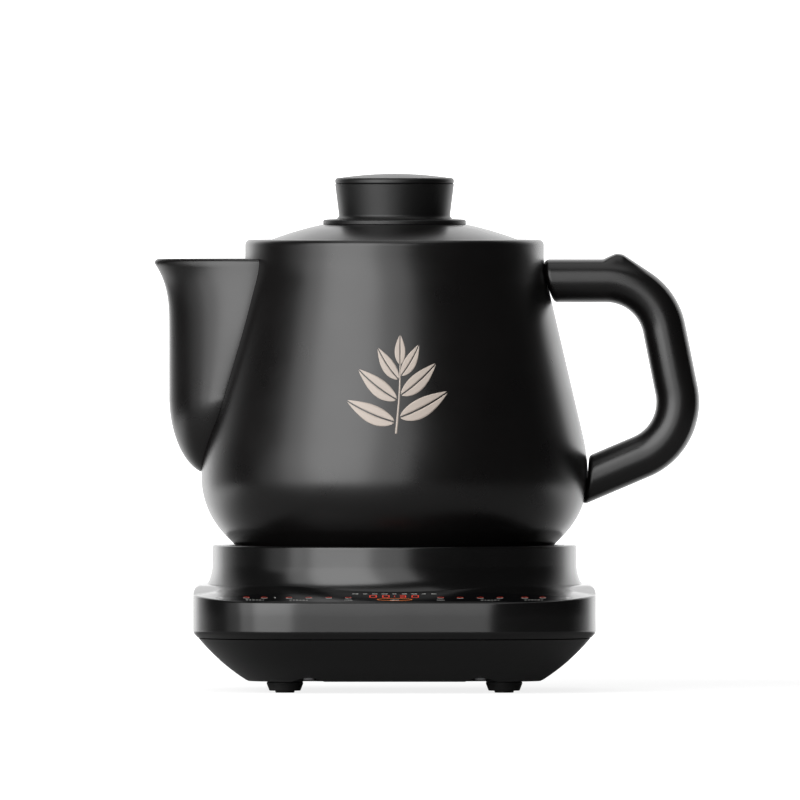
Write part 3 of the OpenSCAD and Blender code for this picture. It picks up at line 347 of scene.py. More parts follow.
def thicken(piece, depth, bevel=0.0):
    """Gives an open sheet its thickness behind its face, and softens its edges."""
    solid = piece.modifiers.new("thickness", "SOLIDIFY")
    solid.thickness, solid.offset = depth, -1
    if bevel:
        edge = piece.modifiers.new("edge", "BEVEL")
        edge.width, edge.segments, edge.limit_method = bevel, 3, "ANGLE"


def face_front(piece, way=(0, -1, 0)):
    """Turns the faces of an open sheet so that they look along a direction."""
    shape = bmesh.new()
    shape.from_mesh(piece.data)
    shape.normal_update()
    back = [f for f in shape.faces if f.normal.dot(Vector(way)) < 0]
    bmesh.ops.reverse_faces(shape, faces=back)
    shape.to_mesh(piece.data)
    shape.free()


def ordered(pocket):
    """Puts the back edge's points of a doubled outline in reverse, so that they form a loop."""
    half = pocket.shape[1] // 2
    return np.concatenate([pocket[:, :half], pocket[:, :half - 1:-1]], 1)


def capped(loops):
    """Closed prism surface from loops: each end closed to its middle point."""
    ends = [np.broadcast_to(loops[k].mean(0), loops[k].shape)[None] for k in (0, -1)]
    return (np.vstack([ends[0], loops, ends[1]]), False, True)


class PotOutline:
    """The pot's outline: foot corner, straight underside, two arcs that meet at the widest level,
    a straight flank, and a hollow arc that runs into the upright rim band."""

    def __init__(self, s):
        self.s = s
        self.foot_z, self.rim_z = POT_LOW.z, POT_HIGH.z
        self.belly_z = self.foot_z + s.belly_h
        self.neck_z = self.rim_z - s.band_h
        self.seat_z = self.rim_z - s.seat_depth
        self.upper = np.array([s.belly_r - s.upper_r, self.belly_z])
        self.lower = np.array([s.belly_r - s.lower_r, self.belly_z])
        self.neck = np.array([s.rim_r + s.neck_r, self.neck_z])
        across = self.neck - self.upper
        self.flank = np.arctan2(across[1], across[0]) - np.arccos(
            (s.upper_r + s.neck_r) / np.hypot(*across)
        )
        self.lip_z = self.rim_z - s.lip_drop
        self.spout_foot_z = self.foot_z + s.spout_foot_h
        self.spout_bend_z = self.foot_z + s.spout_bend_h

    def foot_centre(self, t, z, r):
        """Centre of the corner arc that touches the straight underside and the level z."""
        x = self.lower[0] + (self.s.lower_r - t - r) * np.sqrt(2) + z + r - self.lower[1]
        return np.array([x, z + r])

    def side(self, t, bottom, corner, top):
        """Half outline from the axis to the height top, moved inwards by t."""
        s, down = self.s, -np.pi / 4
        foot = self.foot_centre(t, bottom, corner)
        return np.vstack([
            [[0, bottom], [foot[0] * 0.9, bottom], [foot[0] * 0.99, bottom]],
            arc(foot, corner, -np.pi / 2, down, 10),
            arc(self.lower, s.lower_r - t, down, 0, 36),
            arc(self.upper, s.upper_r - t, 0, self.flank, 24)[1:],
            arc(self.neck, s.neck_r + t, np.pi + self.flank, np.pi, 20),
            [[s.rim_r - t, top]],
        ])

    def radius(self, z, grow=0.0):
        """Outer radius at heights z, grown by grow: each height is on one of the outline's arcs
        (centre + square root of radius squared less height squared) or straight stretches."""
        s, z = self.s, np.asarray(z, float)
        high = self.neck - (s.neck_r - grow) * unit(self.flank)
        low = self.upper + (s.upper_r + grow) * unit(self.flank)
        under = self.lower + (s.lower_r + grow) * unit(-np.pi / 4)

        def side_of(centre, r):
            return np.sqrt(np.maximum(r * r - (z - centre[1]) ** 2, 0))

        return np.select(
            [z >= self.neck_z, z >= high[1], z >= low[1], z >= self.belly_z, z >= under[1]],
            [
                np.full_like(z, s.rim_r + grow),
                self.neck[0] - side_of(self.neck, s.neck_r - grow),
                low[0] + (high[0] - low[0]) * (z - low[1]) / (high[1] - low[1]),
                self.upper[0] + side_of(self.upper, s.upper_r + grow),
                self.lower[0] + side_of(self.lower, s.lower_r + grow),
            ],
            under[0] - (under[1] - z),
        )


class BasePlan:
    """Rounded square of the base in plan, longer at the front, with the collar's circle inside."""

    def __init__(self, s, pot):
        self.s, self.pot = s, pot
        self.front, self.back = -HOUSING_LOW.y, HOUSING_HIGH.y
        self.corner_x = HOUSING_HIGH.x - s.corner_r
        self.corner_front = s.corner_r - self.front
        self.corner_back = self.back - s.corner_r
        self.collar_z = HOUSING_HIGH.z
        self.collar_r = float(pot.radius(self.collar_z)) + s.collar_w
        self.way = unit(np.arange(AROUND * 2) * np.pi / AROUND)

    def reach(self, inset):
        """Distance from the axis to the outline, moved inwards by inset, along each direction:
        where the ray meets a straight side, and else where it meets a corner's circle."""
        r = self.s.corner_r - np.asarray(inset, float)
        x, y = np.maximum(np.abs(self.way[:, 0]), 1e-9), self.way[:, 1]
        centre_y = np.where(y > 0, self.corner_back, self.corner_front)
        wall = (self.corner_x + r) / x
        end = (np.abs(centre_y) + r) / np.maximum(np.abs(y), 1e-9)
        along = x * self.corner_x + y * centre_y
        rest = along**2 - self.corner_x**2 - centre_y**2 + r**2
        corner = along + np.sqrt(np.maximum(rest, 0))
        on_wall = (wall * y <= self.corner_back) & (wall * y >= self.corner_front)
        return np.where(on_wall, wall, np.where(end * x <= self.corner_x, end, corner))

    def at(self, distance, z):
        """Row of points at a distance along each direction, at heights z."""
        flat = np.asarray(distance)[..., None] * self.way
        z = np.broadcast_to(np.asarray(z)[..., None], (*flat.shape[:-1], 1))
        return np.concatenate([flat, z], -1)

    def slope(self, x, y):
        """Height of the sloping front: a plane that turns with the corners. It rises by the
        tangent of its angle with the distance in from the outline, and its edge climbs round a
        corner by panel_lift, with the fourth power of the sine of the turn."""
        side = np.maximum(np.abs(x) - self.corner_x, 0)
        ahead = self.corner_front - y
        across = np.hypot(side, np.maximum(ahead, 0))
        inset = self.s.corner_r - across - np.minimum(ahead, 0)
        turn = side / np.maximum(across, 1e-9)
        climb = inset * np.tan(self.s.panel_tilt) + self.s.panel_lift * turn**4
        return self.s.panel_z + climb

    def top(self, distance, inset):
        """Height of the top: the lower of the flat top with its rounded shoulder and the sloping
        front with its own small edge, each edge a quarter circle. They blend by a soft minimum:
        half of soft times the logarithm of the sum of both exponentials is taken off."""
        s, soft = self.s, 0.0004

        def edge(r):
            d = np.clip(inset, 0, r)
            return np.sqrt(np.maximum(r * r - (r - d) ** 2, 0)) - r

        flat = s.top_z + edge(s.shoulder_r) * np.ones_like(distance)
        slope = self.slope(*(distance[..., None] * self.way).T).T + edge(s.edge_r)
        low = np.minimum(flat, slope)
        return low - soft * np.log(np.exp((low - flat) / soft) + np.exp((low - slope) / soft)) * 0.5

    def panel_point(self, x, up, out):
        """Point on the sloping front: x to the right, up along the slope, out of the face."""
        c, n = np.cos(self.s.panel_tilt), np.sin(self.s.panel_tilt)
        x, up, out = np.broadcast_arrays(x, up, out)
        y = up * c - self.front
        return np.stack([x, y - out * n, self.slope(x, y) + out * c], -1)

    def level(self, x, up):
        """Distance up the slope at x of the point that is as high as up is in the middle: the
        missing height over the tangent is added twelve times over."""
        c, n = np.cos(self.s.panel_tilt), np.sin(self.s.panel_tilt)
        at = np.array(up, float)
        for _ in range(12):
            at = at + (up * n + self.s.panel_z - self.slope(x, at * c - self.front)) / n
        return at


def settings(context):
    """The settings groups, and the outlines that follow from them."""
    scene = context.scene
    body, lid, base = scene.herb_pot_body, scene.herb_pot_lid, scene.herb_pot_base
    pot = PotOutline(body)
    return body, lid, base, pot, BasePlan(base, pot)


# ---------- Finishes ----------


def linear(colour):
    """Linear RGBA of an sRGB hex colour."""
    c = np.array([int(colour[i : i + 2], 16) for i in (1, 3, 5)]) / 255
    c = np.where(c <= 0.04045, c / 12.92, ((c + 0.055) / 1.055) ** 2.4)
    return (*c.tolist(), 1.0)


def add(tree, kind, props=None, inputs=None):
    """Adds a node with its settings. An input is a value, or another node's socket to link."""
    n = tree.nodes.new(kind)
    for key, value in (props or {}).items():
        setattr(n, key, value)
    for key, value in (inputs or {}).items():
        if isinstance(value, bpy.types.NodeSocket):
            tree.links.new(value, n.inputs[key])
        else:
            n.inputs[key].default_value = value
    return n


def compute(tree, operation, a, b):
    """Output of a maths node."""
    return add(tree, "ShaderNodeMath", {"operation": operation}, {0: a, 1: b}).outputs[0]


def fade(tree, value, start, end, low=0.0, high=1.0):
    """Output that runs smoothly from low to high while value runs from start to end."""
    limits = {"From Min": start, "From Max": end, "To Min": low, "To Max": high}
    props = {"interpolation_type": "SMOOTHSTEP"}
    return add(tree, "ShaderNodeMapRange", props, {"Value": value, **limits}).outputs[0]


def direct_rays(tree):
    """Outputs of a light path: one that is 1 for what the camera sees, also through glass, and
    one that is 1 for reflections."""
    path = add(tree, "ShaderNodeLightPath").outputs
    seen = compute(tree, "MAXIMUM", path["Is Camera Ray"], path["Is Transmission Ray"])
    return seen, path["Is Glossy Ray"]


def new_finish(name):
    """Material with an empty tree: the material, its tree, its surface shader and object space."""
    finish = bpy.data.materials.new(name)
    finish.use_nodes = True
    tree = finish.node_tree
    tree.nodes.clear()
    shader = add(tree, "ShaderNodeBsdfPrincipled")
    add(tree, "ShaderNodeOutputMaterial", inputs={"Surface": shader.outputs[0]})
    space = add(tree, "ShaderNodeTexCoord").outputs["Object"]
    return finish, tree, shader, space


def grained(
    name, colour, rough, grain_mm, depth_mm, spread=0.04, metallic=0.0, ior=1.5, mottle=0.12
):
    """Finish with a fine grain: noise of the grain's size lifts the surface, and slow noise
    changes the roughness by spread and the colour by mottle."""
    if name in bpy.data.materials:
        return bpy.data.materials[name]
    finish, tree, shader, space = new_finish(name)
    noise = {"Vector": space, "Scale": 35.0, "Detail": 4.0}
    slow = add(tree, "ShaderNodeTexNoise", inputs=noise).outputs[0]
    noise = {"Vector": space, "Scale": 1000 / grain_mm, "Detail": 2.0}
    fine = add(tree, "ShaderNodeTexNoise", inputs=noise).outputs[0]
    dark = linear(colour)
    pale = [c * (1 + 4 * mottle) for c in dark[:3]] + [1]
    mix = {"Factor": slow, "A": dark, "B": pale}
    tone = add(tree, "ShaderNodeMix", {"data_type": "RGBA"}, mix)
    limits = {"From Min": 0.3, "From Max": 0.7, "To Min": rough - spread, "To Max": rough + spread}
    gloss = add(tree, "ShaderNodeMapRange", inputs={"Value": slow, **limits})
    relief = {"Height": fine, "Distance": depth_mm * MM, "Strength": 1.0}
    bump = add(tree, "ShaderNodeBump", inputs=relief)
    tree.links.new(tone.outputs["Result"], shader.inputs["Base Color"])
    tree.links.new(gloss.outputs[0], shader.inputs["Roughness"])
    tree.links.new(bump.outputs[0], shader.inputs["Normal"])
    shader.inputs["Metallic"].default_value = metallic
    if not metallic:
        shader.inputs["IOR"].default_value = ior
    return finish


def glaze(f):
    """Stoneware with a satin black glaze: broad soft highlights and a faint orange-peel ripple."""
    return grained("satin_black_glaze", f.glaze, 0.29, 1.6, 0.004, 0.025, ior=1.52)


def moulding(f):
    """Spark-eroded ABS: satin black with a fine even grain, drawn at 0.5 mm so that it shows."""
    return grained("moulded_abs", f.moulding, 0.21, 0.5, 0.002, 0.02, ior=1.53)


def knob_moulding(f):
    """Moulded phenolic: harder and a little duller than the housing."""
    return grained("moulded_phenolic", f.moulding, 0.42, 0.6, 0.004, 0.02, ior=1.45)


def inlay(f):
    """Printed and hard-coated acrylic: nearly mirror smooth and flat."""
    return grained("coated_acrylic", f.inlay, 0.09, 3.0, 0.0004, 0.02, ior=1.49)


def rubber(f):
    """Nitrile rubber with a matt moulded face."""
    return grained("moulded_rubber", f.rubber, 0.62, 0.7, 0.01, 0.05, ior=1.5)


def print_ink(name, colour, glow=0.0):
    """Screen-printed ink, or a lit mark when it glows a little; slightly broken in density. A glow
    given to plain print is painted light.
    """
    finish = grained(name, colour, 0.5, 0.3, 0.002, 0.04, mottle=0.03)
    shader = next(n for n in finish.node_tree.nodes if n.type == "BSDF_PRINCIPLED")
    shader.inputs["Emission Color"].default_value = linear(colour)
    shader.inputs["Emission Strength"].default_value = glow
    return finish


def machined_aluminium(f):
    """Cast aluminium, faced on a lathe: rings 1 mm apart round the axis stretch the highlight."""
    finish, tree, shader, space = new_finish("turned_aluminium")
    rings = add(
        tree,
        "ShaderNodeTexWave",
        {"wave_type": "RINGS", "rings_direction": "Z", "wave_profile": "SIN"},
        {"Vector": space, "Scale": 320.0, "Distortion": 0.4, "Detail": 2.0},
    )
    cloud = add(tree, "ShaderNodeTexNoise", inputs={"Vector": space, "Scale": 60.0, "Detail": 5.0})
    limits = {"Value": cloud.outputs[0], "To Min": 0.3, "To Max": 0.5}
    rough = add(tree, "ShaderNodeMapRange", inputs=limits)
    relief = {"Height": rings.outputs["Fac"], "Distance": 0.01 * MM, "Strength": 0.8}
    bump = add(tree, "ShaderNodeBump", inputs=relief)
    tree.links.new(rough.outputs[0], shader.inputs["Roughness"])
    tree.links.new(bump.outputs[0], shader.inputs["Normal"])
    shader.inputs["Base Color"].default_value = linear(f.aluminium)
    shader.inputs["Metallic"].default_value = 1.0
    return finish


def steel(f):
    """Cold-formed stainless steel, lightly brushed."""
    return grained("stainless_steel", f.steel, 0.3, 0.4, 0.002, 0.06, metallic=1.0, mottle=0.02)


def silicone():
    """Grey platinum-cured silicone, matt and slightly waxy."""
    return grained("grey_silicone", "#8B8B88", 0.55, 0.8, 0.004, 0.05, ior=1.43)


def board():
    """Glass-epoxy circuit board under green solder mask."""
    return grained("green_solder_mask", "#1C5A33", 0.35, 0.6, 0.003, 0.05)


def brass():
    """Nickel-free brass of the inlet's pins, drawn and tumbled."""
    return grained("drawn_brass", "#C9A869", 0.28, 0.3, 0.001, 0.05, metallic=1.0, mottle=0.02)


def steatite():
    """Unglazed steatite ceramic of the cut-out."""
    return grained("steatite", "#D8D2C4", 0.7, 0.4, 0.01, 0.06)


# ---------- Pieces ----------


class HERBPOT_OT_pot(bpy.types.Operator):
    """Make the thrown pot with its inward rim and the hole for the strainer"""

    bl_idname = "herb_pot.pot"
    bl_label = "Pot"

    def execute(self, context):
        s, _, _, pot, _ = settings(context)
        outer = pot.side(0, pot.foot_z, s.foot_r, pot.rim_z - s.rim_round)
        # Mouth: a step for the lid, a bore for its skirt, and a slope out to the hollow
        lid_gap, bore_h, slope_h = 0.0005, 0.004, 0.008
        step_r, bore_z = LID_HIGH.x + lid_gap, pot.seat_z - bore_h
        inner = pot.side(s.wall, pot.foot_z + s.floor_t, 0.014, bore_z - slope_h)[::-1]
        rim = rounded([
            [s.rim_r, pot.rim_z - 2 * s.rim_round, 0],
            [s.rim_r, pot.rim_z, s.rim_round],
            [step_r, pot.rim_z, 0.0007],
            [step_r, pot.seat_z, 0.0006],
            [s.mouth_r, pot.seat_z, 0.0008],
            [s.mouth_r, bore_z, 0.002],
            [s.rim_r - s.wall, bore_z - slope_h, 0],
        ])
        profile = np.vstack([outer[:-1], rim, inner[1:]])
        finish = glaze(context.scene.herb_pot_finish)
        piece = make_turned("thrown_pot", profile, "pot", finish, "pot_ceramic", "pot_body")
        # The strainer's hole is bored through the wall along X
        z = sum(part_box("spout_strainer")[i].z for i in (0, 1)) / 2
        start, end, r = -0.06, -0.14, s.strainer_r
        plug = turned([[0, start], [r, start], [r, end], [0, end]], columns=96)
        carve(piece, [(plug[..., [2, 0, 1]] + [0, 0, z], False, True)])
        return {"FINISHED"}


class HERBPOT_OT_spout(bpy.types.Operator):
    """Make the jug-like spout as a sheet carried round its front"""

    bl_idname = "herb_pot.spout"
    bl_label = "Spout"

    def execute(self, context):
        s, _, _, pot, _ = settings(context)
        rings, steps, rim_t = 72, 96, s.spout_wall / 2
        a = np.linspace(-np.pi / 2, np.pi / 2, steps + 1)[None]
        # Share of the upright where the lip starts to lean, and powers that set how suddenly it
        # leans, how blunt the toe is and how keen the nose is
        lean_from, lean_power = 0.47, 3.2
        toe_power, toe_root, nose_power = 1.5, 0.6, 1.25

        # t is a skin's distance inwards from the spout's outside
        def bottom(t):
            """Height of a skin's lowest point."""
            return pot.spout_foot_z + 1.4 * t

        def share_down(z, t):
            """Share of the way from the bend down to just under the lowest point."""
            return (pot.spout_bend_z - z) / (pot.spout_bend_z - bottom(t) + 0.0017)

        def front(z, t):
            """Reach at height z: a quarter oval from the foot (one less the root of one less the
            share squared), an upright, and a lip that leans with a power of the height."""
            reach = s.spout_reach - t
            root = reach - pot.radius(bottom(t)) - 0.0008
            oval = (1 - np.sqrt(np.maximum(1 - share_down(z, t) ** 2, 0))) / (
                1 - np.sqrt(1 - share_down(bottom(t), t) ** 2)
            )
            up = (z - pot.spout_bend_z) / (pot.lip_z - pot.spout_bend_z)
            lean = s.lip_out * (np.maximum(0, up - lean_from) / (1 - lean_from)) ** lean_power
            return np.where(z < pot.spout_bend_z, reach - root * oval, reach + lean)

        def half(z, t):
            """Half width at height z: a toe below (one less a power of the share down, and a
            root of that) and a gentle swell to the mouth above, by a quarter of a sine."""
            toe = np.clip((pot.spout_bend_z - z) / (pot.spout_bend_z - bottom(t)), 0, 1)
            round_toe = np.maximum(0, 1 - toe**toe_power) ** toe_root
            low = np.maximum(0.001, (s.spout_half - t) * round_toe)
            up = np.clip(1.5 * (z - pot.spout_bend_z) / (pot.lip_z - pot.spout_bend_z), 0, 1)
            high = s.spout_half - t + (s.spout_mouth - s.spout_half) * np.sin(np.pi / 2 * up)
            return np.where(z < pot.spout_bend_z, low, high)

        def skin(t):
            """Half ovals round the front, from the pot's side to side, stacked up the height. The
            oval is a superellipse: cosine and sine are raised to a power just over one."""
            u = np.linspace(0, 1, rings + 1)[:, None]
            z = bottom(t) + (pot.lip_z - rim_t - bottom(t)) * u**1.4
            w = half(z, t)
            x = np.sqrt(pot.radius(z, LUTED) ** 2 - w**2)
            ahead = np.cos(a).clip(0) ** nose_power
            beside = np.sign(a) * np.abs(np.sin(a)) ** nose_power
            out = -x - np.maximum(0.0003, front(z, t) - x) * ahead
            return np.stack([out, w * beside, np.broadcast_to(z, out.shape)], -1)

        outer, inner = skin(0.0), skin(s.spout_wall)
        h = np.linspace(0, np.pi, 10)[1:-1, None, None]
        lip = (outer[-1] + inner[-1]) / 2 + (outer[-1] - inner[-1]) / 2 * np.cos(h)
        lip = lip + rim_t * np.sin(h) * [0, 0, 1]
        sheet = np.vstack([outer, lip, inner[::-1]])
        # Strips that close the sheet along the pot's wall
        cheeks = []
        for k in (0, -1):
            pairs = [(outer[:, k], inner[:, k]), (lip[:4, k], lip[:3:-1, k])]
            cheeks.append((np.vstack([np.stack(pair, 1) for pair in pairs]), False, False))
        make_piece(
            "luted_spout",
            [(sheet, True, False), *cheeks],
            "pot",
            glaze(context.scene.herb_pot_finish),
            ["spout"],
            sharp=40,
        )
        return {"FINISHED"}


class HERBPOT_OT_handle(bpy.types.Operator):
    """Make the loop handle with its creased back and thumb rest"""

    bl_idname = "herb_pot.handle"
    bl_label = "Handle"

    def execute(self, context):
        s, _, _, pot, _ = settings(context)
        # Cross-section: a circle for the inside and a wider one for the back, which meet in two
        # creases at crease_x from the first one's centre
        off = s.handle_back_r - s.handle_t + s.handle_r
        crease_x = (s.handle_back_r**2 - s.handle_r**2 - off**2) / (2 * off)
        front_a = np.arccos(crease_x / s.handle_r)
        back_a = np.arccos((crease_x + off) / s.handle_back_r)
        mid = s.handle_r - s.handle_t / 2
        outline = np.vstack([
            arc([mid, 0], s.handle_r, front_a, 2 * np.pi - front_a, 64)[:-1],
            arc([mid - off, 0], s.handle_back_r, -back_a, back_a, 33)[:-1],
        ])
        # Stations on the centreline: the upper bend, the grip and the lower bend. Before the
        # bend the arm runs straight: the tangent of the angle takes it on
        before = 0.12
        upper = np.array([s.bend_x, pot.rim_z - s.arm_drop - s.bend_r])
        lower = upper + s.grip_l * unit(s.grip_lean - np.pi / 2)
        low_a = s.arm_slope - np.pi / 2
        a1 = np.linspace(np.pi / 2 + before, s.grip_lean, 110)
        a2 = np.linspace(s.grip_lean, low_a, 60)
        start = upper + s.bend_r * unit(np.minimum(a1, np.pi / 2))
        start[:, 0] -= s.bend_r * np.tan(np.maximum(a1 - np.pi / 2, 0))
        centres = np.vstack([start, lower + s.bend_r * unit(a2)])
        turns = np.concatenate([np.minimum(a1, np.pi / 2), a2])
        swing = np.concatenate([a1, a2])
        # Thumb rest: a steep face, a level top, then a straight ramp that touches the bend,
        # whose height is the back's radius over the cosine of the turn, less the radius
        back_r = s.bend_r + s.handle_t / 2
        touch_a, tip_a, foot_a = np.radians([56.3, 83.3, 92.6])
        ramp = back_r / np.cos(np.clip(swing, touch_a, tip_a) - touch_a) - back_r
        ramp = np.minimum(ramp, s.thumb_rise)
        face = np.clip((foot_a - swing) / (foot_a - tip_a), 0, 1)
        rise = np.where(swing > tip_a, s.thumb_rise * face**1.2, ramp)
        rise = np.convolve(np.pad(rise, 2, "edge"), [0.1, 0.2, 0.4, 0.2, 0.1], "valid")
        # Across the back the rest is full up to crest, falls with a square over fall and ends
        # past the creases, in shares of their half distance
        crest, fall, past, drop = 0.62, 0.4, 0.12, 0.9
        across = np.abs(outline[:, 1]) / (s.handle_r * np.sin(front_a))
        on_back = (outline[:, 0] > 0) * (1 - np.clip((across - crest) / fall, 0, 1) ** 2 * drop)
        on_back *= np.clip((1 + past - across) / past, 0, 1)
        radial = outline[None, :, 0] + rise[:, None] * on_back[None]
        way = unit(turns)[:, None]
        plane = centres[:, None] + radial[..., None] * way
        sideways = np.broadcast_to(outline[:, 1], radial.shape)
        loop = np.stack([plane[..., 0], sideways, plane[..., 1]], -1)

        def arm(ring, flow):
            """Straight arm from a ring to the pot's wall, ending in a chamfer that makes a groove.
            The length of each line is found by halving until it meets the pot's radius."""
            longest, halvings = 0.09, 34
            near, far = np.zeros(len(ring)), np.full(len(ring), longest)
            for _ in range(halvings):
                half_way = (near + far) / 2
                p = ring + half_way[:, None] * flow
                inside = np.hypot(p[:, 0], p[:, 1]) < pot.radius(p[:, 2], LUTED)
                near, far = np.where(inside, near, half_way), np.where(inside, half_way, far)
            reach = near[None, :, None]
            # The last rings' distances from the wall and how much narrower each one is; the
            # closing ring lies at the last one's distance
            plain, inner_shrink = 0.005, 0.4
            share_on = np.array([0.25, 0.5, 0.75])[:, None, None]
            back_off = np.array([0.004, 0.0026, 0.0019, 0.0013, 0.0007, 0.0002])[:, None, None]
            shrink = np.array([0.0, 0.0, 0.02, 0.05, 0.1, 0.16])[:, None, None]
            middle = ring.mean(0)
            rows = np.vstack([
                ring + share_on * (reach - plain) * flow,
                ring + (reach - back_off) * flow + shrink * (middle - ring),
            ])
            inner = ring + (near[:, None] - back_off[-1]) * flow + inner_shrink * (middle - ring)
            depth = np.hypot(inner[:, 0], inner[:, 1]) - pot.radius(inner[:, 2], LUTED)
            inner = inner + np.minimum(depth, 0)[:, None] * flow
            return np.vstack([rows, inner[None], np.broadcast_to(inner.mean(0), inner.shape)[None]])

        top_arm = arm(loop[0], np.array([-1.0, 0, 0]))[::-1]
        flow = unit(np.array(s.arm_slope - np.pi))
        low_arm = arm(loop[-1], np.array([flow[0], 0, flow[1]]))
        make_piece(
            "loop_handle",
            [(np.vstack([top_arm, loop, low_arm]), False, True)],
            "pot",
            glaze(context.scene.herb_pot_finish),
            ["handle"],
            sharp=28,
        )
        return {"FINISHED"}


class HERBPOT_OT_sprig(bpy.types.Operator):
    """Print a plain herb sprig on the pot's front"""

    bl_idname = "herb_pot.sprig"
    bl_label = "Printed sprig"

    def execute(self, context):
        s, _, _, pot, _ = settings(context)
        h = s.sprig_h
        bow, rib, leaf_w, leaf_sag, stem_half = 0.035, 0.014, 0.17, 0.16, 0.012

        def stem_at(t):
            """The stem's sideways place at a share of the height: a shallow sine."""
            return bow * h * np.sin(2.6 * (t - 0.1))

        # Leaves: place along the stem, side, direction and length, as shares of the height
        along = np.array([0.12, 0.17, 0.36, 0.41, 0.58, 0.62, 0.74])
        side = np.array([-1, 1, -1, 1, -1, 1, 0.0])
        turn = np.pi / 2 - side * np.radians([76, 72, 62, 58, 44, 40, 0])
        size = h * np.array([0.56, 0.58, 0.52, 0.5, 0.4, 0.38, 0.32])
        u, v = np.linspace(0, 1, 22)[:, None], np.linspace(0, 1, 6)[None]
        # Half a leaf: a sine's arch, widest below the middle, beside a bare midrib
        wide = leaf_w * np.sin(np.pi * u**0.8) ** 0.9
        half_leaf = np.stack([np.broadcast_to(0.05 + u, (22, 6)) + 0 * v, rib + v * wide], -1)
        both = np.stack([half_leaf, half_leaf * [1, -1]])[None] * size[:, None, None, None, None]
        # Each leaf arches upwards: its midrib follows a parabola
        sag = side[:, None, None, None] * leaf_sag * (both[..., 0] ** 2) / size[:, None, None, None]
        x, y = both[..., 0], both[..., 1] + sag
        c, n = np.cos(turn)[:, None, None, None], np.sin(turn)[:, None, None, None]
        leaf_x = x * c - y * n + stem_at(along)[:, None, None, None]
        leaf_z = x * n + y * c + (along * h)[:, None, None, None]
        leaves = np.stack([leaf_x, leaf_z], -1).reshape(-1, 22, 6, 2)
        t = np.linspace(0, 0.76, 40)[:, None]
        thin = stem_half * h * (1 - 0.6 * t) * np.linspace(-1, 1, 3)[None]
        stem = np.stack([stem_at(t) + thin, t * h + 0 * thin], -1)

        def on_pot(flat):
            """Carries flat points straight back on to the pot's front, 0.04 mm proud."""
            x, z = flat[..., 0] + 0.0013, flat[..., 1] + pot.belly_z + 0.0245
            r = pot.radius(z) + 0.04 * MM
            return np.stack([x, -np.sqrt(r**2 - x**2), z], -1)

        piece = make_piece(
            "printed_sprig",
            [(on_pot(leaves), False, False), (on_pot(stem), False, False)],
            "pot",
            print_ink("fired_enamel_print", context.scene.herb_pot_finish.sprig),
        )
        face_front(piece)
        thicken(piece, 0.00003)
        return {"FINISHED"}


class HERBPOT_OT_lid(bpy.types.Operator):
    """Make the domed lid, its knob and the knob's cap"""

    bl_idname = "herb_pot.lid"
    bl_label = "Lid and knob"

    def execute(self, context):
        body, s, _, pot, _ = settings(context)
        f = context.scene.herb_pot_finish
        lid_r, seat, apex = LID_HIGH.x, pot.seat_z, LID_HIGH.z
        centre = np.array([0, apex - s.dome_r])
        under_dome_r = s.dome_r - s.lid_t
        edge_a = np.arccos((lid_r - 0.0012) / s.dome_r)
        skirt_gap = 0.0012
        skirt_r = body.mouth_r - skirt_gap
        under_r = skirt_r - s.skirt_t
        under_a = np.arccos(under_r / under_dome_r)
        brim = rounded([
            [*(centre + s.dome_r * unit(edge_a)), 0],
            [lid_r, seat + s.edge_h, 0.0009],
            [lid_r, seat, 0.0006],
            [skirt_r, seat, 0.0004],
            [skirt_r, LID_LOW.z, 0.001],
            [under_r, LID_LOW.z, 0.001],
            [*(centre + under_dome_r * unit(under_a)), 0],
        ])
        dome = arc(centre, s.dome_r, np.pi / 2, edge_a, 40)
        vault = arc(centre, under_dome_r, under_a, np.pi / 2, 36)
        profile = np.vstack([dome, brim[1:-1], vault])
        make_turned("domed_lid", profile, "lid", glaze(f), "pot_ceramic", "lid")
        # Knob: a sloping flange, a small fillet and a side that widens towards the top
        top_z, flange_z = apex + s.knob_h, apex - 0.001
        bowl_r = s.dome_r + 0.05 * MM
        flange_a = np.arccos(s.flange_r / bowl_r)
        foot_z = (centre + bowl_r * unit(flange_a))[1]
        side = rounded([
            [s.flange_r - 0.004, foot_z + 0.0004, 0],
            [s.flange_r, foot_z, 0.0002],
            [s.flange_r, flange_z - 0.0006, 0.0011],
            [s.foot_r + 0.0012, flange_z, 0.0004],
            [s.foot_r, flange_z + 0.0014, 0.0018],
            [s.top_r, top_z - 0.0004, 0],
            [s.top_r - 0.0005, top_z, 0],
            [0, top_z, 0],
        ])
        bowl = arc(centre, bowl_r, np.pi / 2, flange_a, 20)[:-1]
        profile = np.vstack([bowl, side[CORNER:]])
        make_turned("flanged_knob", profile, "lid", knob_moulding(f), "knob_plastic", "lid_knob")
        # Cap: a low crown, whose radius is (run squared + rise squared) / twice the rise
        foot_z, edge_z = top_z + 0.02 * MM, top_z + s.cap_edge_h
        rise, run = CAP_HIGH.z - edge_z, s.top_r - s.cap_round
        crown = (run**2 + rise**2) / (2 * rise)
        crown_c = np.array([0, CAP_HIGH.z - crown])
        turn_in = 0.93  # where the crown passes into the rounded edge
        cap = np.vstack([
            [[0, foot_z], [s.top_r - 0.0006, foot_z]],
            rounded([
                [s.top_r - 0.0005, foot_z, 0],
                [s.top_r, top_z + 0.0005, 0.0002],
                [s.top_r, edge_z, s.cap_round],
                [run * turn_in, edge_z + rise * (1 - turn_in**2), 0],
            ])[:-1],
            arc(crown_c, crown, np.arccos(run * turn_in / crown), np.pi / 2, 24),
        ])
        make_turned("knob_cap_disc", cap, "lid", knob_moulding(f), "knob_plastic", "knob_cap")
        return {"FINISHED"}


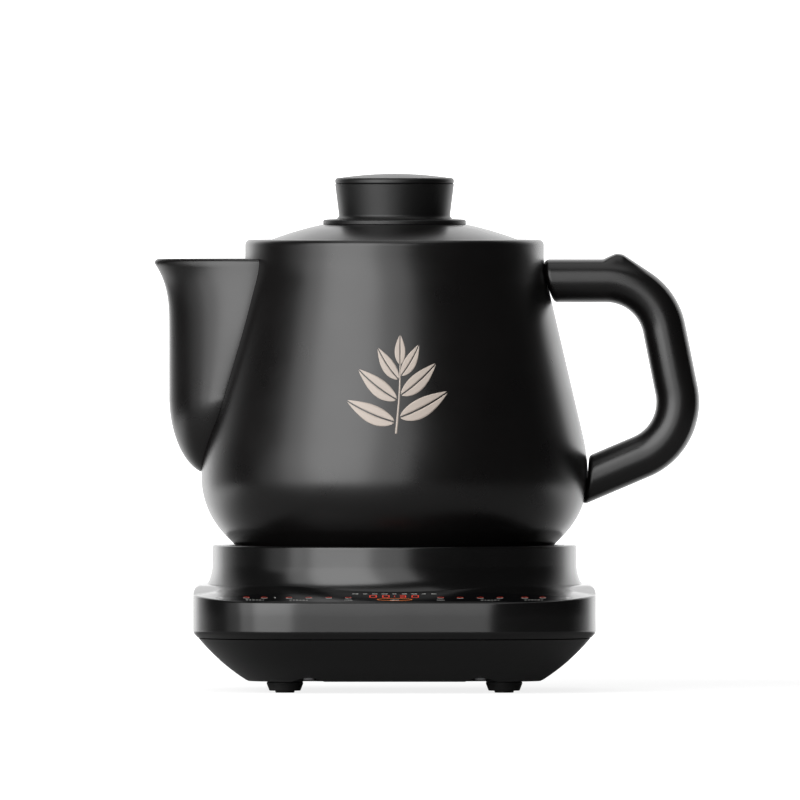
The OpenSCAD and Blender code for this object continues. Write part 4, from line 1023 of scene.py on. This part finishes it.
class HERBPOT_OT_housing(bpy.types.Operator):
    """Make the upper shell: band, sloping front, flared collar and the pot's recess"""

    bl_idname = "herb_pot.housing"
    bl_label = "Upper shell"

    def execute(self, context):
        body, _, s, pot, plan = settings(context)
        gap, deep, deck_t = s.collar_gap, s.shell_t, 0.0024
        recess_z = pot.foot_z - 0.0006
        hole_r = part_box("plate_seal")[1].x - 0.005
        # Tuck, soft edge and upright band, as insets and heights
        tuck_h = s.seam_in / np.tan(s.tuck_a)
        band = rounded([
            [s.seam_in + 0.0008, s.seam_z, 0],
            [s.seam_in, s.seam_z, 0.0003],
            [0, s.seam_z + tuck_h, s.soft_r],
            [0, s.seam_z + tuck_h + s.soft_r * np.tan(s.tuck_a / 2) + 0.008, 0],
        ])
        rows = [plan.at(plan.reach(d), z) for d, z in band[CORNER:]]
        # Shoulder and top, down to the flare: inset by a quarter turn's sine, then evenly
        brim = 0.0048
        shoulder = s.shoulder_r * (1 - np.cos(np.linspace(0, np.pi / 2, 16)))
        for d in np.concatenate([[0], shoulder, [brim]]):
            reach = plan.reach(d)
            rows.append(plan.at(reach, plan.top(reach, d)))
        # The flare is an arc into the collar: its angle a, from where it leaves the top, is put
        # right sixteen times over by the arcsine of the height left over the flare's radius
        start = plan.reach(brim)
        middle_z = s.top_z + s.flare_h
        a = np.full(len(plan.way), 0.55)
        for _ in range(16):
            foot = plan.collar_r + s.flare_r * (1 - np.cos(a))
            a = np.arcsin((middle_z - plan.top(foot, 1.0)) / s.flare_r)
        for k in np.linspace(0.06, 1, 12):
            reach = start + (foot - start) * k
            rows.append(plan.at(reach, plan.top(reach, 1.0)))
        for k in np.linspace(1, 0, 14):
            flare = s.flare_r * unit(a * k).T
            rows.append(plan.at(plan.collar_r + s.flare_r - flare[0], middle_z - flare[1]))
        # Collar and recess: turned
        inner_r = float(pot.radius(plan.collar_z, gap))
        collar = rounded([
            [plan.collar_r, middle_z, 0],
            [plan.collar_r, plan.collar_z, 0.0012],
            [inner_r, plan.collar_z, 0.001],
            [inner_r - 0.004, plan.collar_z - 0.004, 0],
        ])[CORNER:-CORNER]
        foot_c = pot.foot_centre(-gap, recess_z, body.foot_r)
        under = recess_z - deck_t
        z = np.linspace(plan.collar_z - 0.002, foot_c[1] + body.foot_r * np.sin(-np.pi / 4), 14)
        z_in = np.linspace(under + 0.004, plan.collar_z - deep, 10)
        wheel = np.vstack([
            collar,
            np.stack([pot.radius(z, gap), z], -1),
            arc(foot_c, body.foot_r, -np.pi / 4, -np.pi / 2, 8)[1:],
            [[hole_r + 0.0006, recess_z], [hole_r, recess_z - 0.0006], [hole_r, under]],
            # Inside of the shell
            [[foot_c[0], under]],
            np.stack([pot.radius(z_in, gap + deep), z_in], -1),
            [[plan.collar_r - deep, plan.collar_z - deep], [plan.collar_r - deep, middle_z]],
        ])
        around = np.broadcast_to(wheel[:, :1], (len(wheel), len(plan.way)))
        rows += list(plan.at(around, wheel[:, 1:]))
        # And under the top, back to the seam
        lining_in, lining_t = 0.006, 0.0036
        reach, edge = plan.reach(lining_in), plan.reach(deep)
        rows += [
            plan.at(np.minimum(foot, plan.reach(0.0062)), plan.top(foot, 1.0) - lining_t),
            plan.at(reach, plan.top(reach, lining_in) - lining_t),
            plan.at(edge, plan.top(edge, lining_in) - 0.0075),
            plan.at(edge, s.seam_z + 0.005),
            plan.at(plan.reach(s.seam_in + deep + 0.0006), s.seam_z),
        ]
        piece = make_piece(
            "upper_shell",
            [(np.stack(rows), True, True)],
            "base",
            moulding(context.scene.herb_pot_finish),
            ["base_housing"],
            sharp=24,
        )
        # Pocket for the inlay, and the inlet's opening at the back
        x, v, up = inlay_outline(plan, s.panel_in - 0.0003)
        x, v = np.tile(x, 2), np.concatenate([v, np.full(len(v), up + 0.0003)])
        pocket = np.stack([plan.panel_point(x, v, out) for out in (-0.00215, 0.004)])
        low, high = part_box("power_inlet")
        # The opening is 0.3 mm larger all round than the inlet's body
        hx, hz, mid_z = 0.0139, 0.0095, (low.z + high.z) / 2
        corners = ((-hx, -hz), (hx, -hz), (hx, hz), (-hx, hz))
        ends = (plan.back - 0.02, plan.back + 0.005)
        opening = np.array([[[x, y, mid_z + z] for x, z in corners] for y in ends])
        carve(piece, [capped(ordered(pocket)), capped(opening)], sharp=24)
        return {"FINISHED"}


def inlay_outline(plan, inset):
    """Front edge of the inlay as x and distance up the slope, and its straight back edge: the
    base's outline moved inwards, as far as it lies before the back edge."""
    s = plan.s
    up = s.panel_l - 0.0015
    x, y = plan.reach(inset) * plan.way.T
    v = (y + plan.front) / np.cos(s.panel_tilt)
    right = np.flatnonzero((y < 0) & (x > 0))
    right = right[np.argsort(v[right])]
    end = np.interp(up, v[right], x[right])
    keep = np.flatnonzero((y < 0) & (v < up))
    keep = keep[np.argsort(x[keep])]
    return np.array([-end, *x[keep], end]), np.array([up, *v[keep], up]), up


class HERBPOT_OT_panel(bpy.types.Operator):
    """Make the glossy inlay with its printed and lit marks"""

    bl_idname = "herb_pot.panel"
    bl_label = "Touch panel"

    def execute(self, context):
        _, _, s, _, plan = settings(context)
        f = context.scene.herb_pot_finish
        x, v, up = inlay_outline(plan, s.panel_in)
        k = np.linspace(0, 1, 9)[:, None]
        piece = make_piece(
            "touch_inlay",
            [(plan.panel_point(x[None], v + (up - v) * k, 0.0), False, False)],
            "base",
            inlay(f),
            ["control_panel"],
            smooth=False,
        )
        face_front(piece, (0, 0, 1))
        thicken(piece, 0.002, 0.0003)
        half = np.array([0.0252, 0.0359, 0.0469, 0.0576, 0.0712, 0.081])
        keys = np.concatenate([-half[::-1], half])
        pairs = [-0.0761, -0.0523, 0.0523, 0.0761]
        dashes = np.add.outer(pairs, (np.arange(6) - 2.5) * 0.0018).ravel()
        key_y, row_y, top_y, digit_y = 0.0146, 0.0078, 0.0262, 0.0187
        key_r, line = 0.00185, 0.0003

        def flat(x, y):
            """Marks' points, each as high as its place in the middle of the front."""
            return plan.panel_point(x, plan.level(x, y), PRINT)

        def rings(cx, cy, rx, ry, wide, start, end, n=24):
            """Flat arcs: an ellipse's stretch between two angles, with a constant width."""
            cx, cy = (np.reshape(v, (-1, 1, 1)) for v in np.broadcast_arrays(cx, cy))
            t = np.linspace(start, end, n)[None, None]
            edge = np.array([0, wide])[None, :, None]
            return flat(cx + (rx - edge) * np.cos(t), cy + (ry - edge) * np.sin(t))

        def bars(*sizes):
            """Flat rectangles from centres, widths and heights."""
            cx, cy, w, h = (np.reshape(v, (-1, 1, 1)) for v in np.broadcast_arrays(*sizes))
            return flat(cx + w * [[[-0.5, 0.5]] * 2], cy + h * [[[-0.5] * 2, [0.5] * 2]])

        def key_arcs(start, end):
            """An arc over or under each key, between two angles in degrees."""
            return rings(keys, key_y, key_r, key_r, line, np.radians(start), np.radians(end))

        dash_w = np.tile([0.0013, 0.0008, 0.0012, 0.001, 0.0013, 0.0007], len(pairs))
        pale = [
            key_arcs(200, 340),
            bars(dashes, row_y, dash_w, 0.0005),
            bars(keys[5:7], row_y, 0.0044, 0.0004),
            bars(np.arange(-4, 5) * 0.0215 / 4, top_y, np.tile([0.0032, 0.002, 0.0028], 3), 0.0007),
            bars([-0.0652, 0.0], [key_y, row_y], [0.0008, 0.0046], [0.0008, 0.0005]),
        ]
        # Seven-segment digits that read 00:30: a row of segments shown for each digit
        seg_x = np.array([0, 1, 1, 0, -1, -1, 0]) * 0.0017
        seg_y = np.array([2, 1, -1, -2, -1, 1, 0]) * 0.0016
        tall = np.array([0, 1, 1, 0, 1, 1, 0])
        zero, three = [1, 1, 1, 1, 1, 1, 0], [1, 1, 1, 1, 0, 0, 1]
        digit, segment = np.argwhere([zero, zero, three, zero]).T
        digit_x = np.array([-0.0115, -0.0045, 0.0045, 0.0115])
        wide, high = np.where(tall[segment], [[0.0006], [0.0026]], [[0.0027], [0.0006]])
        lit = [
            key_arcs(20, 160),
            bars(digit_x[digit] + seg_x[segment] - 0.0002, digit_y + seg_y[segment], wide, high),
            bars(0, digit_y + np.array([-0.0014, 0.0014]), 0.0007, 0.0007),
        ]
        amber = [rings(0, 0.0098, 0.0096, 0.0034, 0.0005, 0, 2 * np.pi, 72)]
        marks = {
            # The white print's faint glow of 0.1 is painted light: the print is ink, not a lamp
            "pale_marks": (pale, print_ink("white_print_painted_glow", f.white, 0.1)),
            "lit_marks": (lit, print_ink("lit_red", f.red, 0.4)),
            "amber_ring": (amber, print_ink("lit_amber", f.amber, 0.25)),
        }
        for name, (sheets, ink) in marks.items():
            sheets = [(grid, False, False) for grid in sheets]
            piece = make_piece(name, sheets, "base", ink, smooth=False)
            face_front(piece, (0, 0, 1))
            thicken(piece, 0.00002)
        return {"FINISHED"}


class HERBPOT_OT_chassis(bpy.types.Operator):
    """Make the tucked-in lower shell with its screw pockets"""

    bl_idname = "herb_pot.chassis"
    bl_label = "Lower shell"

    def execute(self, context):
        _, _, s, _, plan = settings(context)
        f = context.scene.herb_pot_finish
        foot_z, head_z, wall_t = CHASSIS_LOW.z, s.seam_z - 0.0004, 0.0026
        head = np.array([s.seam_in + 0.0005, head_z])
        foot = np.array([s.foot_in, foot_z])
        middle, run = (head + foot) / 2, head - foot
        far = np.sqrt(s.bulge_r**2 - (run @ run) / 4)
        # The bulge is an arc through head and foot, its centre on the inner side
        centre = middle + far * np.array([run[1], -run[0]]) / np.linalg.norm(run)
        a0, a1 = (np.arctan2(*(p - centre)[::-1]) % (2 * np.pi) for p in (foot, head))
        skin = arc(centre, s.bulge_r, a0, a1, 30)
        lining = arc(centre, s.bulge_r - wall_t, a1, a0, 20)
        lining[:, 1] = np.maximum(lining[:, 1], foot_z + wall_t)
        lining[0, 1] = head_z
        reach = plan.reach(s.foot_in)
        edge = head + [[0.0001, -0.0002], [0.0003, 0]]
        rows = [plan.at(reach * k, foot_z) for k in (0, 0.5, 0.97, 0.995)]
        rows += [plan.at(plan.reach(d), z) for d, z in np.vstack([skin[1:-1], edge, lining])]
        rows += [plan.at(reach * k, foot_z + wall_t) for k in (0.9, 0.5, 0)]
        piece = make_piece(
            "lower_shell",
            [(np.stack(rows), False, True)],
            "base",
            moulding(f),
            ["chassis"],
            sharp=24,
        )
        # Pockets stand under the four case screws
        front_y, back_y = 0.0376 - plan.front, plan.back - 0.0376
        spots = [(x, y) for x in (-0.047, 0.047) for y in (front_y, back_y)]
        r, pocket_z = s.pocket_r, foot_z + s.pocket_h
        below, soft = -0.001, 0.0004
        wall = [[0, below], [r, below], [r, pocket_z - soft], [r - soft, pocket_z], [0, pocket_z]]
        carve(piece, [(turned(wall, c, 96), False, True) for c in spots], sharp=24)
        hole_r, cup_r, cup_z = 0.0026, r + 0.0015, pocket_z + 0.0024
        cup = [[hole_r, pocket_z], [cup_r, pocket_z], [cup_r, cup_z], [hole_r, cup_z]]
        cups = [(turned(cup, c, 72), True, True) for c in spots]
        make_piece("screw_pockets", cups, "base", moulding(f))
        return {"FINISHED"}


class HERBPOT_OT_feet(bpy.types.Operator):
    """Make the four conical rubber feet"""

    bl_idname = "herb_pot.feet"
    bl_label = "Rubber feet"

    def execute(self, context):
        s = context.scene.herb_pot_base
        for node in ("foot_front_left", "foot_front_right", "foot_back_left", "foot_back_right"):
            low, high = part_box(node)
            centre = ((low.x + high.x) / 2, (low.y + high.y) / 2)
            step_z, top_z = 0.0011, CHASSIS_LOW.z
            profile = rounded([
                [0, 0, 0],
                [s.foot_r * 0.5, 0, 0.0004],
                [s.foot_r * 0.5, step_z, 0.0003],
                [s.foot_r * 0.81, step_z, 0.0006],
                [s.foot_r, top_z, 0.0011],
                [0, top_z, 0],
            ])
            finish = rubber(context.scene.herb_pot_finish)
            shape = {"centre": centre, "columns": 96}
            make_turned("rubber_" + node, profile, "base", finish, "foot_rubber", node, **shape)
        return {"FINISHED"}


class HERBPOT_OT_heater(bpy.types.Operator):
    """Make the heating plate and the temperature probe"""

    bl_idname = "herb_pot.heater"
    bl_label = "Heating plate and probe"

    def execute(self, context):
        f = context.scene.herb_pot_finish
        hole_r, plate_r = 0.0134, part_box("plate_seal")[1].x - 0.0056
        top, low = PLATE_HIGH.z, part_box("thermal_cutout")[1].z
        flange_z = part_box("plate_seal")[0].z
        plate = rounded([
            [hole_r, low, 0.0002],
            [hole_r, top, 0.0008],
            [plate_r, top, 0.0008],
            [plate_r, flange_z, 0.0004],
            [PLATE_HIGH.x, flange_z, 0.0004],
            [PLATE_HIGH.x, low, 0.0004],
        ], closed=True)
        metal, slot = machined_aluminium(f), "plate_aluminium"
        make_turned("faced_plate", plate, "base", metal, slot, "heating_plate", closed=True)
        low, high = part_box("probe")
        stem_r, cap_r = 0.003, high.x - 0.0022
        rim = high.z - 0.0077
        under = rim - 0.0025
        probe = rounded([
            [0, low.z, 0],
            [stem_r, low.z, 0.0004],
            [stem_r, under, 0.0003],
            [high.x, under, 0.0003],
            [high.x, rim, 0.0003],
            [cap_r, rim, 0.0002],
            [cap_r, high.z, 0.0012],
            [0, high.z, 0],
        ])
        make_turned("probe_cap", probe, "probe", steel(f), "steel", "probe", columns=120)
        return {"FINISHED"}


class HERBPOT_OT_inlet(bpy.types.Operator):
    """Make the three-pin mains inlet at the back"""

    bl_idname = "herb_pot.inlet"
    bl_label = "Mains inlet"

    def execute(self, context):
        f = context.scene.herb_pot_finish
        low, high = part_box("power_inlet")
        face, mid_z = high.y, (low.z + high.z) / 2
        back = face - 0.0015

        def loop(hx, hz, r, y):
            """Rounded rectangle facing the back, as one row of points."""
            flat = rounded([[-hx, -hz, r], [hx, -hz, r], [hx, hz, r], [-hx, hz, r]], 6, closed=True)
            return np.stack([flat[:, 0], np.full(len(flat), y), mid_z + flat[:, 1]], -1)

        rows = [
            loop(0.0136, 0.0092, 0.001, back - 0.02),
            loop(0.0136, 0.0092, 0.001, back),
            loop(0.024, 0.0098, 0.002, back),
            loop(0.024, 0.0098, 0.002, face - 0.0005),
            loop(0.0236, 0.0094, 0.0018, face - 0.0001),
            loop(0.0232, 0.009, 0.0016, face),
            loop(0.0124, 0.0081, 0.0016, face),
            loop(0.012, 0.0077, 0.0014, face - 0.0005),
            loop(0.0119, 0.0076, 0.0013, back - 0.0175),
        ]
        body, slot = [capped(np.stack(rows))], "housing_plastic"
        make_piece("inlet_body", body, "base", rubber(f), ["power_inlet"], sharp=26)
        pin = np.stack([
            loop(0.001, 0.002, 0.0004, back - 0.0178),
            loop(0.001, 0.002, 0.0004, back - 0.0034),
            loop(0.0007, 0.0014, 0.0003, back - 0.002),
        ])
        pins = [capped(pin + [x, 0, z]) for x, z in ((-0.007, 0.002), (0, -0.002), (0.007, 0.002))]
        make_piece("inlet_pins", pins, "base", brass(), sharp=26)
        return {"FINISHED"}


class HERBPOT_OT_inner_finishes(bpy.types.Operator):
    """Give the carried-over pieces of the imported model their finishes"""

    bl_idname = "herb_pot.inner_finishes"
    bl_label = "Inner pieces"

    def execute(self, context):
        f = context.scene.herb_pot_finish
        finishes = {
            glaze(f): ["spout_strainer"],
            steel(f): ["knob_screw", "heat_shield", "plate_screws", "shield_screws", "probe_spring",
                       "board_screws", "case_screws", "inlet_screws", "heating_element"],
            silicone(): ["knob_washer", "plate_seal"],
            moulding(f): ["probe_holder"],
            board(): ["control_board", "power_board"],
            inlay(f): ["display_module"],
            rubber(f): ["touch_pads"],
            steatite(): ["thermal_cutout"],
        }
        for finish, names in finishes.items():
            for name in names:
                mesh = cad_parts[name].data
                mesh.materials.clear()
                mesh.materials.append(finish)
        return {"FINISHED"}


class HERBPOT_OT_stage(bpy.types.Operator):
    """Make the floor, the lights, the surroundings and the camera"""

    bl_idname = "herb_pot.stage"
    bl_label = "Stage"

    def execute(self, context):
        s = context.scene.herb_pot_stage
        scene = context.scene
        # Floor: matt white. For the camera it also glows, near the pot a little less, so that it
        # runs into the white surroundings and still keeps the pot's shadow
        mesh = bpy.data.meshes.new("floor")
        rim = unit(np.arange(96) * np.pi / 48) * s.floor_r
        mesh.from_pydata([(x, y, 0) for x, y in rim], [], [range(96)])
        floor = bpy.data.objects.new("floor", mesh)
        scene.collection.objects.link(floor)
        paint = bpy.data.materials.new("matt_white_floor")
        paint.use_nodes = True
        tree = paint.node_tree
        tree.nodes.clear()
        white = (1, 1, 1, 1)
        direct, mirrored = direct_rays(tree)
        space = add(tree, "ShaderNodeTexCoord").outputs["Object"]
        far = add(tree, "ShaderNodeVectorMath", {"operation": "LENGTH"}, {0: space})
        pale = fade(tree, far.outputs["Value"], 0.3, 0.9, s.glow, 1.0)
        # Reflections see it glow behind the pot
        y = add(tree, "ShaderNodeSeparateXYZ", inputs={0: space}).outputs["Y"]
        rear = compute(tree, "MULTIPLY", mirrored, fade(tree, y, 0.0, 0.35, 0.0, s.rear))
        glow = compute(tree, "MULTIPLY", compute(tree, "MAXIMUM", direct, rear), pale)
        light = add(tree, "ShaderNodeEmission", inputs={"Color": white, "Strength": glow})
        matt = add(tree, "ShaderNodeBsdfDiffuse", inputs={"Color": linear(s.floor_colour)})
        both = add(tree, "ShaderNodeAddShader", inputs={0: light.outputs[0], 1: matt.outputs[0]})
        add(tree, "ShaderNodeOutputMaterial", inputs={"Surface": both.outputs[0]})
        mesh.materials.append(paint)
        # Surroundings: white to the camera; to reflections white only behind the pot, and pale
        # round a direction 74 degrees left of the camera, where the wide light fades out
        world = bpy.data.worlds.new("white_room")
        scene.world = world
        world.use_nodes = True
        tree = world.node_tree
        tree.nodes.clear()
        direct, _ = direct_rays(tree)
        room = add(tree, "ShaderNodeTexCoord").outputs["Generated"]
        y = add(tree, "ShaderNodeSeparateXYZ", inputs={0: room}).outputs["Y"]
        behind = fade(tree, y, 0.4, 1.0, s.fill, s.rear)
        left = {0: room, 1: (-0.961, -0.276, 0.0)}
        side = add(tree, "ShaderNodeVectorMath", {"operation": "DOT_PRODUCT"}, left)
        tail = fade(tree, side.outputs["Value"], 0.945, 0.995, 0.0, s.tail)
        seen = compute(tree, "MAXIMUM", direct, compute(tree, "ADD", behind, tail))
        sky = add(tree, "ShaderNodeBackground", inputs={"Color": white, "Strength": seen})
        add(tree, "ShaderNodeOutputWorld", inputs={"Surface": sky.outputs[0]})
        # A wide soft light left of the camera with a stronger one in its middle, a strip on each
        # side behind the pot and a soft light overhead: direction left of the camera, height
        # angle, distance, size, power
        lamps = {
            "key_light": (s.key_angle - 0.07, 18, 1.8, (3.0, 2.0), s.key_power),
            "accent_light": (s.key_angle, 18, 1.7, (1.25, 1.9), s.accent_power),
            "rim_light_left": (np.radians(147), 8, 1.6, (0.5, 1.8), s.rim_power),
            "rim_light_right": (np.radians(-142), 8, 1.6, (0.5, 1.8), s.rim_power),
            "top_light": (np.radians(10), 84, 1.3, (1.2, 1.2), s.top_power),
        }
        aim = Vector((0, 0, 0.14))
        for name, (a, up, far, size, power) in lamps.items():
            lamp = bpy.data.lights.new(name, "AREA")
            lamp.shape, lamp.energy = "RECTANGLE", power
            lamp.size, lamp.size_y = size
            box = bpy.data.objects.new(name, lamp)
            way = Vector((-np.sin(a), -np.cos(a), np.tan(np.radians(up)))).normalized()
            box.location = aim + way * far
            box.rotation_euler = (-way).to_track_quat("-Z", "Y").to_euler()
            box.visible_camera = False
            scene.collection.objects.link(box)
        # Camera: far away with a long lens, just above the pot's middle
        lens = bpy.data.cameras.new("camera")
        lens.sensor_width = 36
        lens.lens = 36 * s.distance / s.width
        lens.clip_end = 100
        camera = bpy.data.objects.new("camera", lens)
        target = Vector((s.aim_x, 0, s.aim_z))
        back = Vector((0, -np.cos(s.elevation), np.sin(s.elevation)))
        camera.location = target + back * s.distance
        camera.rotation_euler = (-back).to_track_quat("-Z", "Y").to_euler()
        scene.collection.objects.link(camera)
        scene.camera = camera
        scene.view_settings.view_transform = "Standard"
        return {"FINISHED"}


OPERATORS = [
    HERBPOT_OT_stage,
    HERBPOT_OT_pot,
    HERBPOT_OT_spout,
    HERBPOT_OT_handle,
    HERBPOT_OT_sprig,
    HERBPOT_OT_lid,
    HERBPOT_OT_housing,
    HERBPOT_OT_panel,
    HERBPOT_OT_chassis,
    HERBPOT_OT_feet,
    HERBPOT_OT_heater,
    HERBPOT_OT_inlet,
    HERBPOT_OT_inner_finishes,
]


class HERBPOT_PT_sidebar(bpy.types.Panel):
    """Sidebar panel that lists the operators"""

    bl_idname = "HERBPOT_PT_sidebar"
    bl_label = "Herbal decoction pot"
    bl_space_type = "VIEW_3D"
    bl_region_type = "UI"
    bl_category = "Pot"

    def draw(self, context):
        for operator in OPERATORS:
            self.layout.operator(operator.bl_idname)


def register():
    """Registers the settings, the operators and the panel."""
    for name, group in GROUPS.items():
        bpy.utils.register_class(group)
        setattr(bpy.types.Scene, name, bpy.props.PointerProperty(type=group))
    for cls in (*OPERATORS, HERBPOT_PT_sidebar):
        bpy.utils.register_class(cls)


def unregister():
    """Takes them out again."""
    for cls in (HERBPOT_PT_sidebar, *reversed(OPERATORS)):
        bpy.utils.unregister_class(cls)
    for name, group in GROUPS.items():
        delattr(bpy.types.Scene, name)
        bpy.utils.unregister_class(group)


def main():
    register()
    for operator in OPERATORS:
        getattr(bpy.ops.herb_pot, operator.bl_idname.split(".")[1])()


if __name__ == "__main__":
    main()
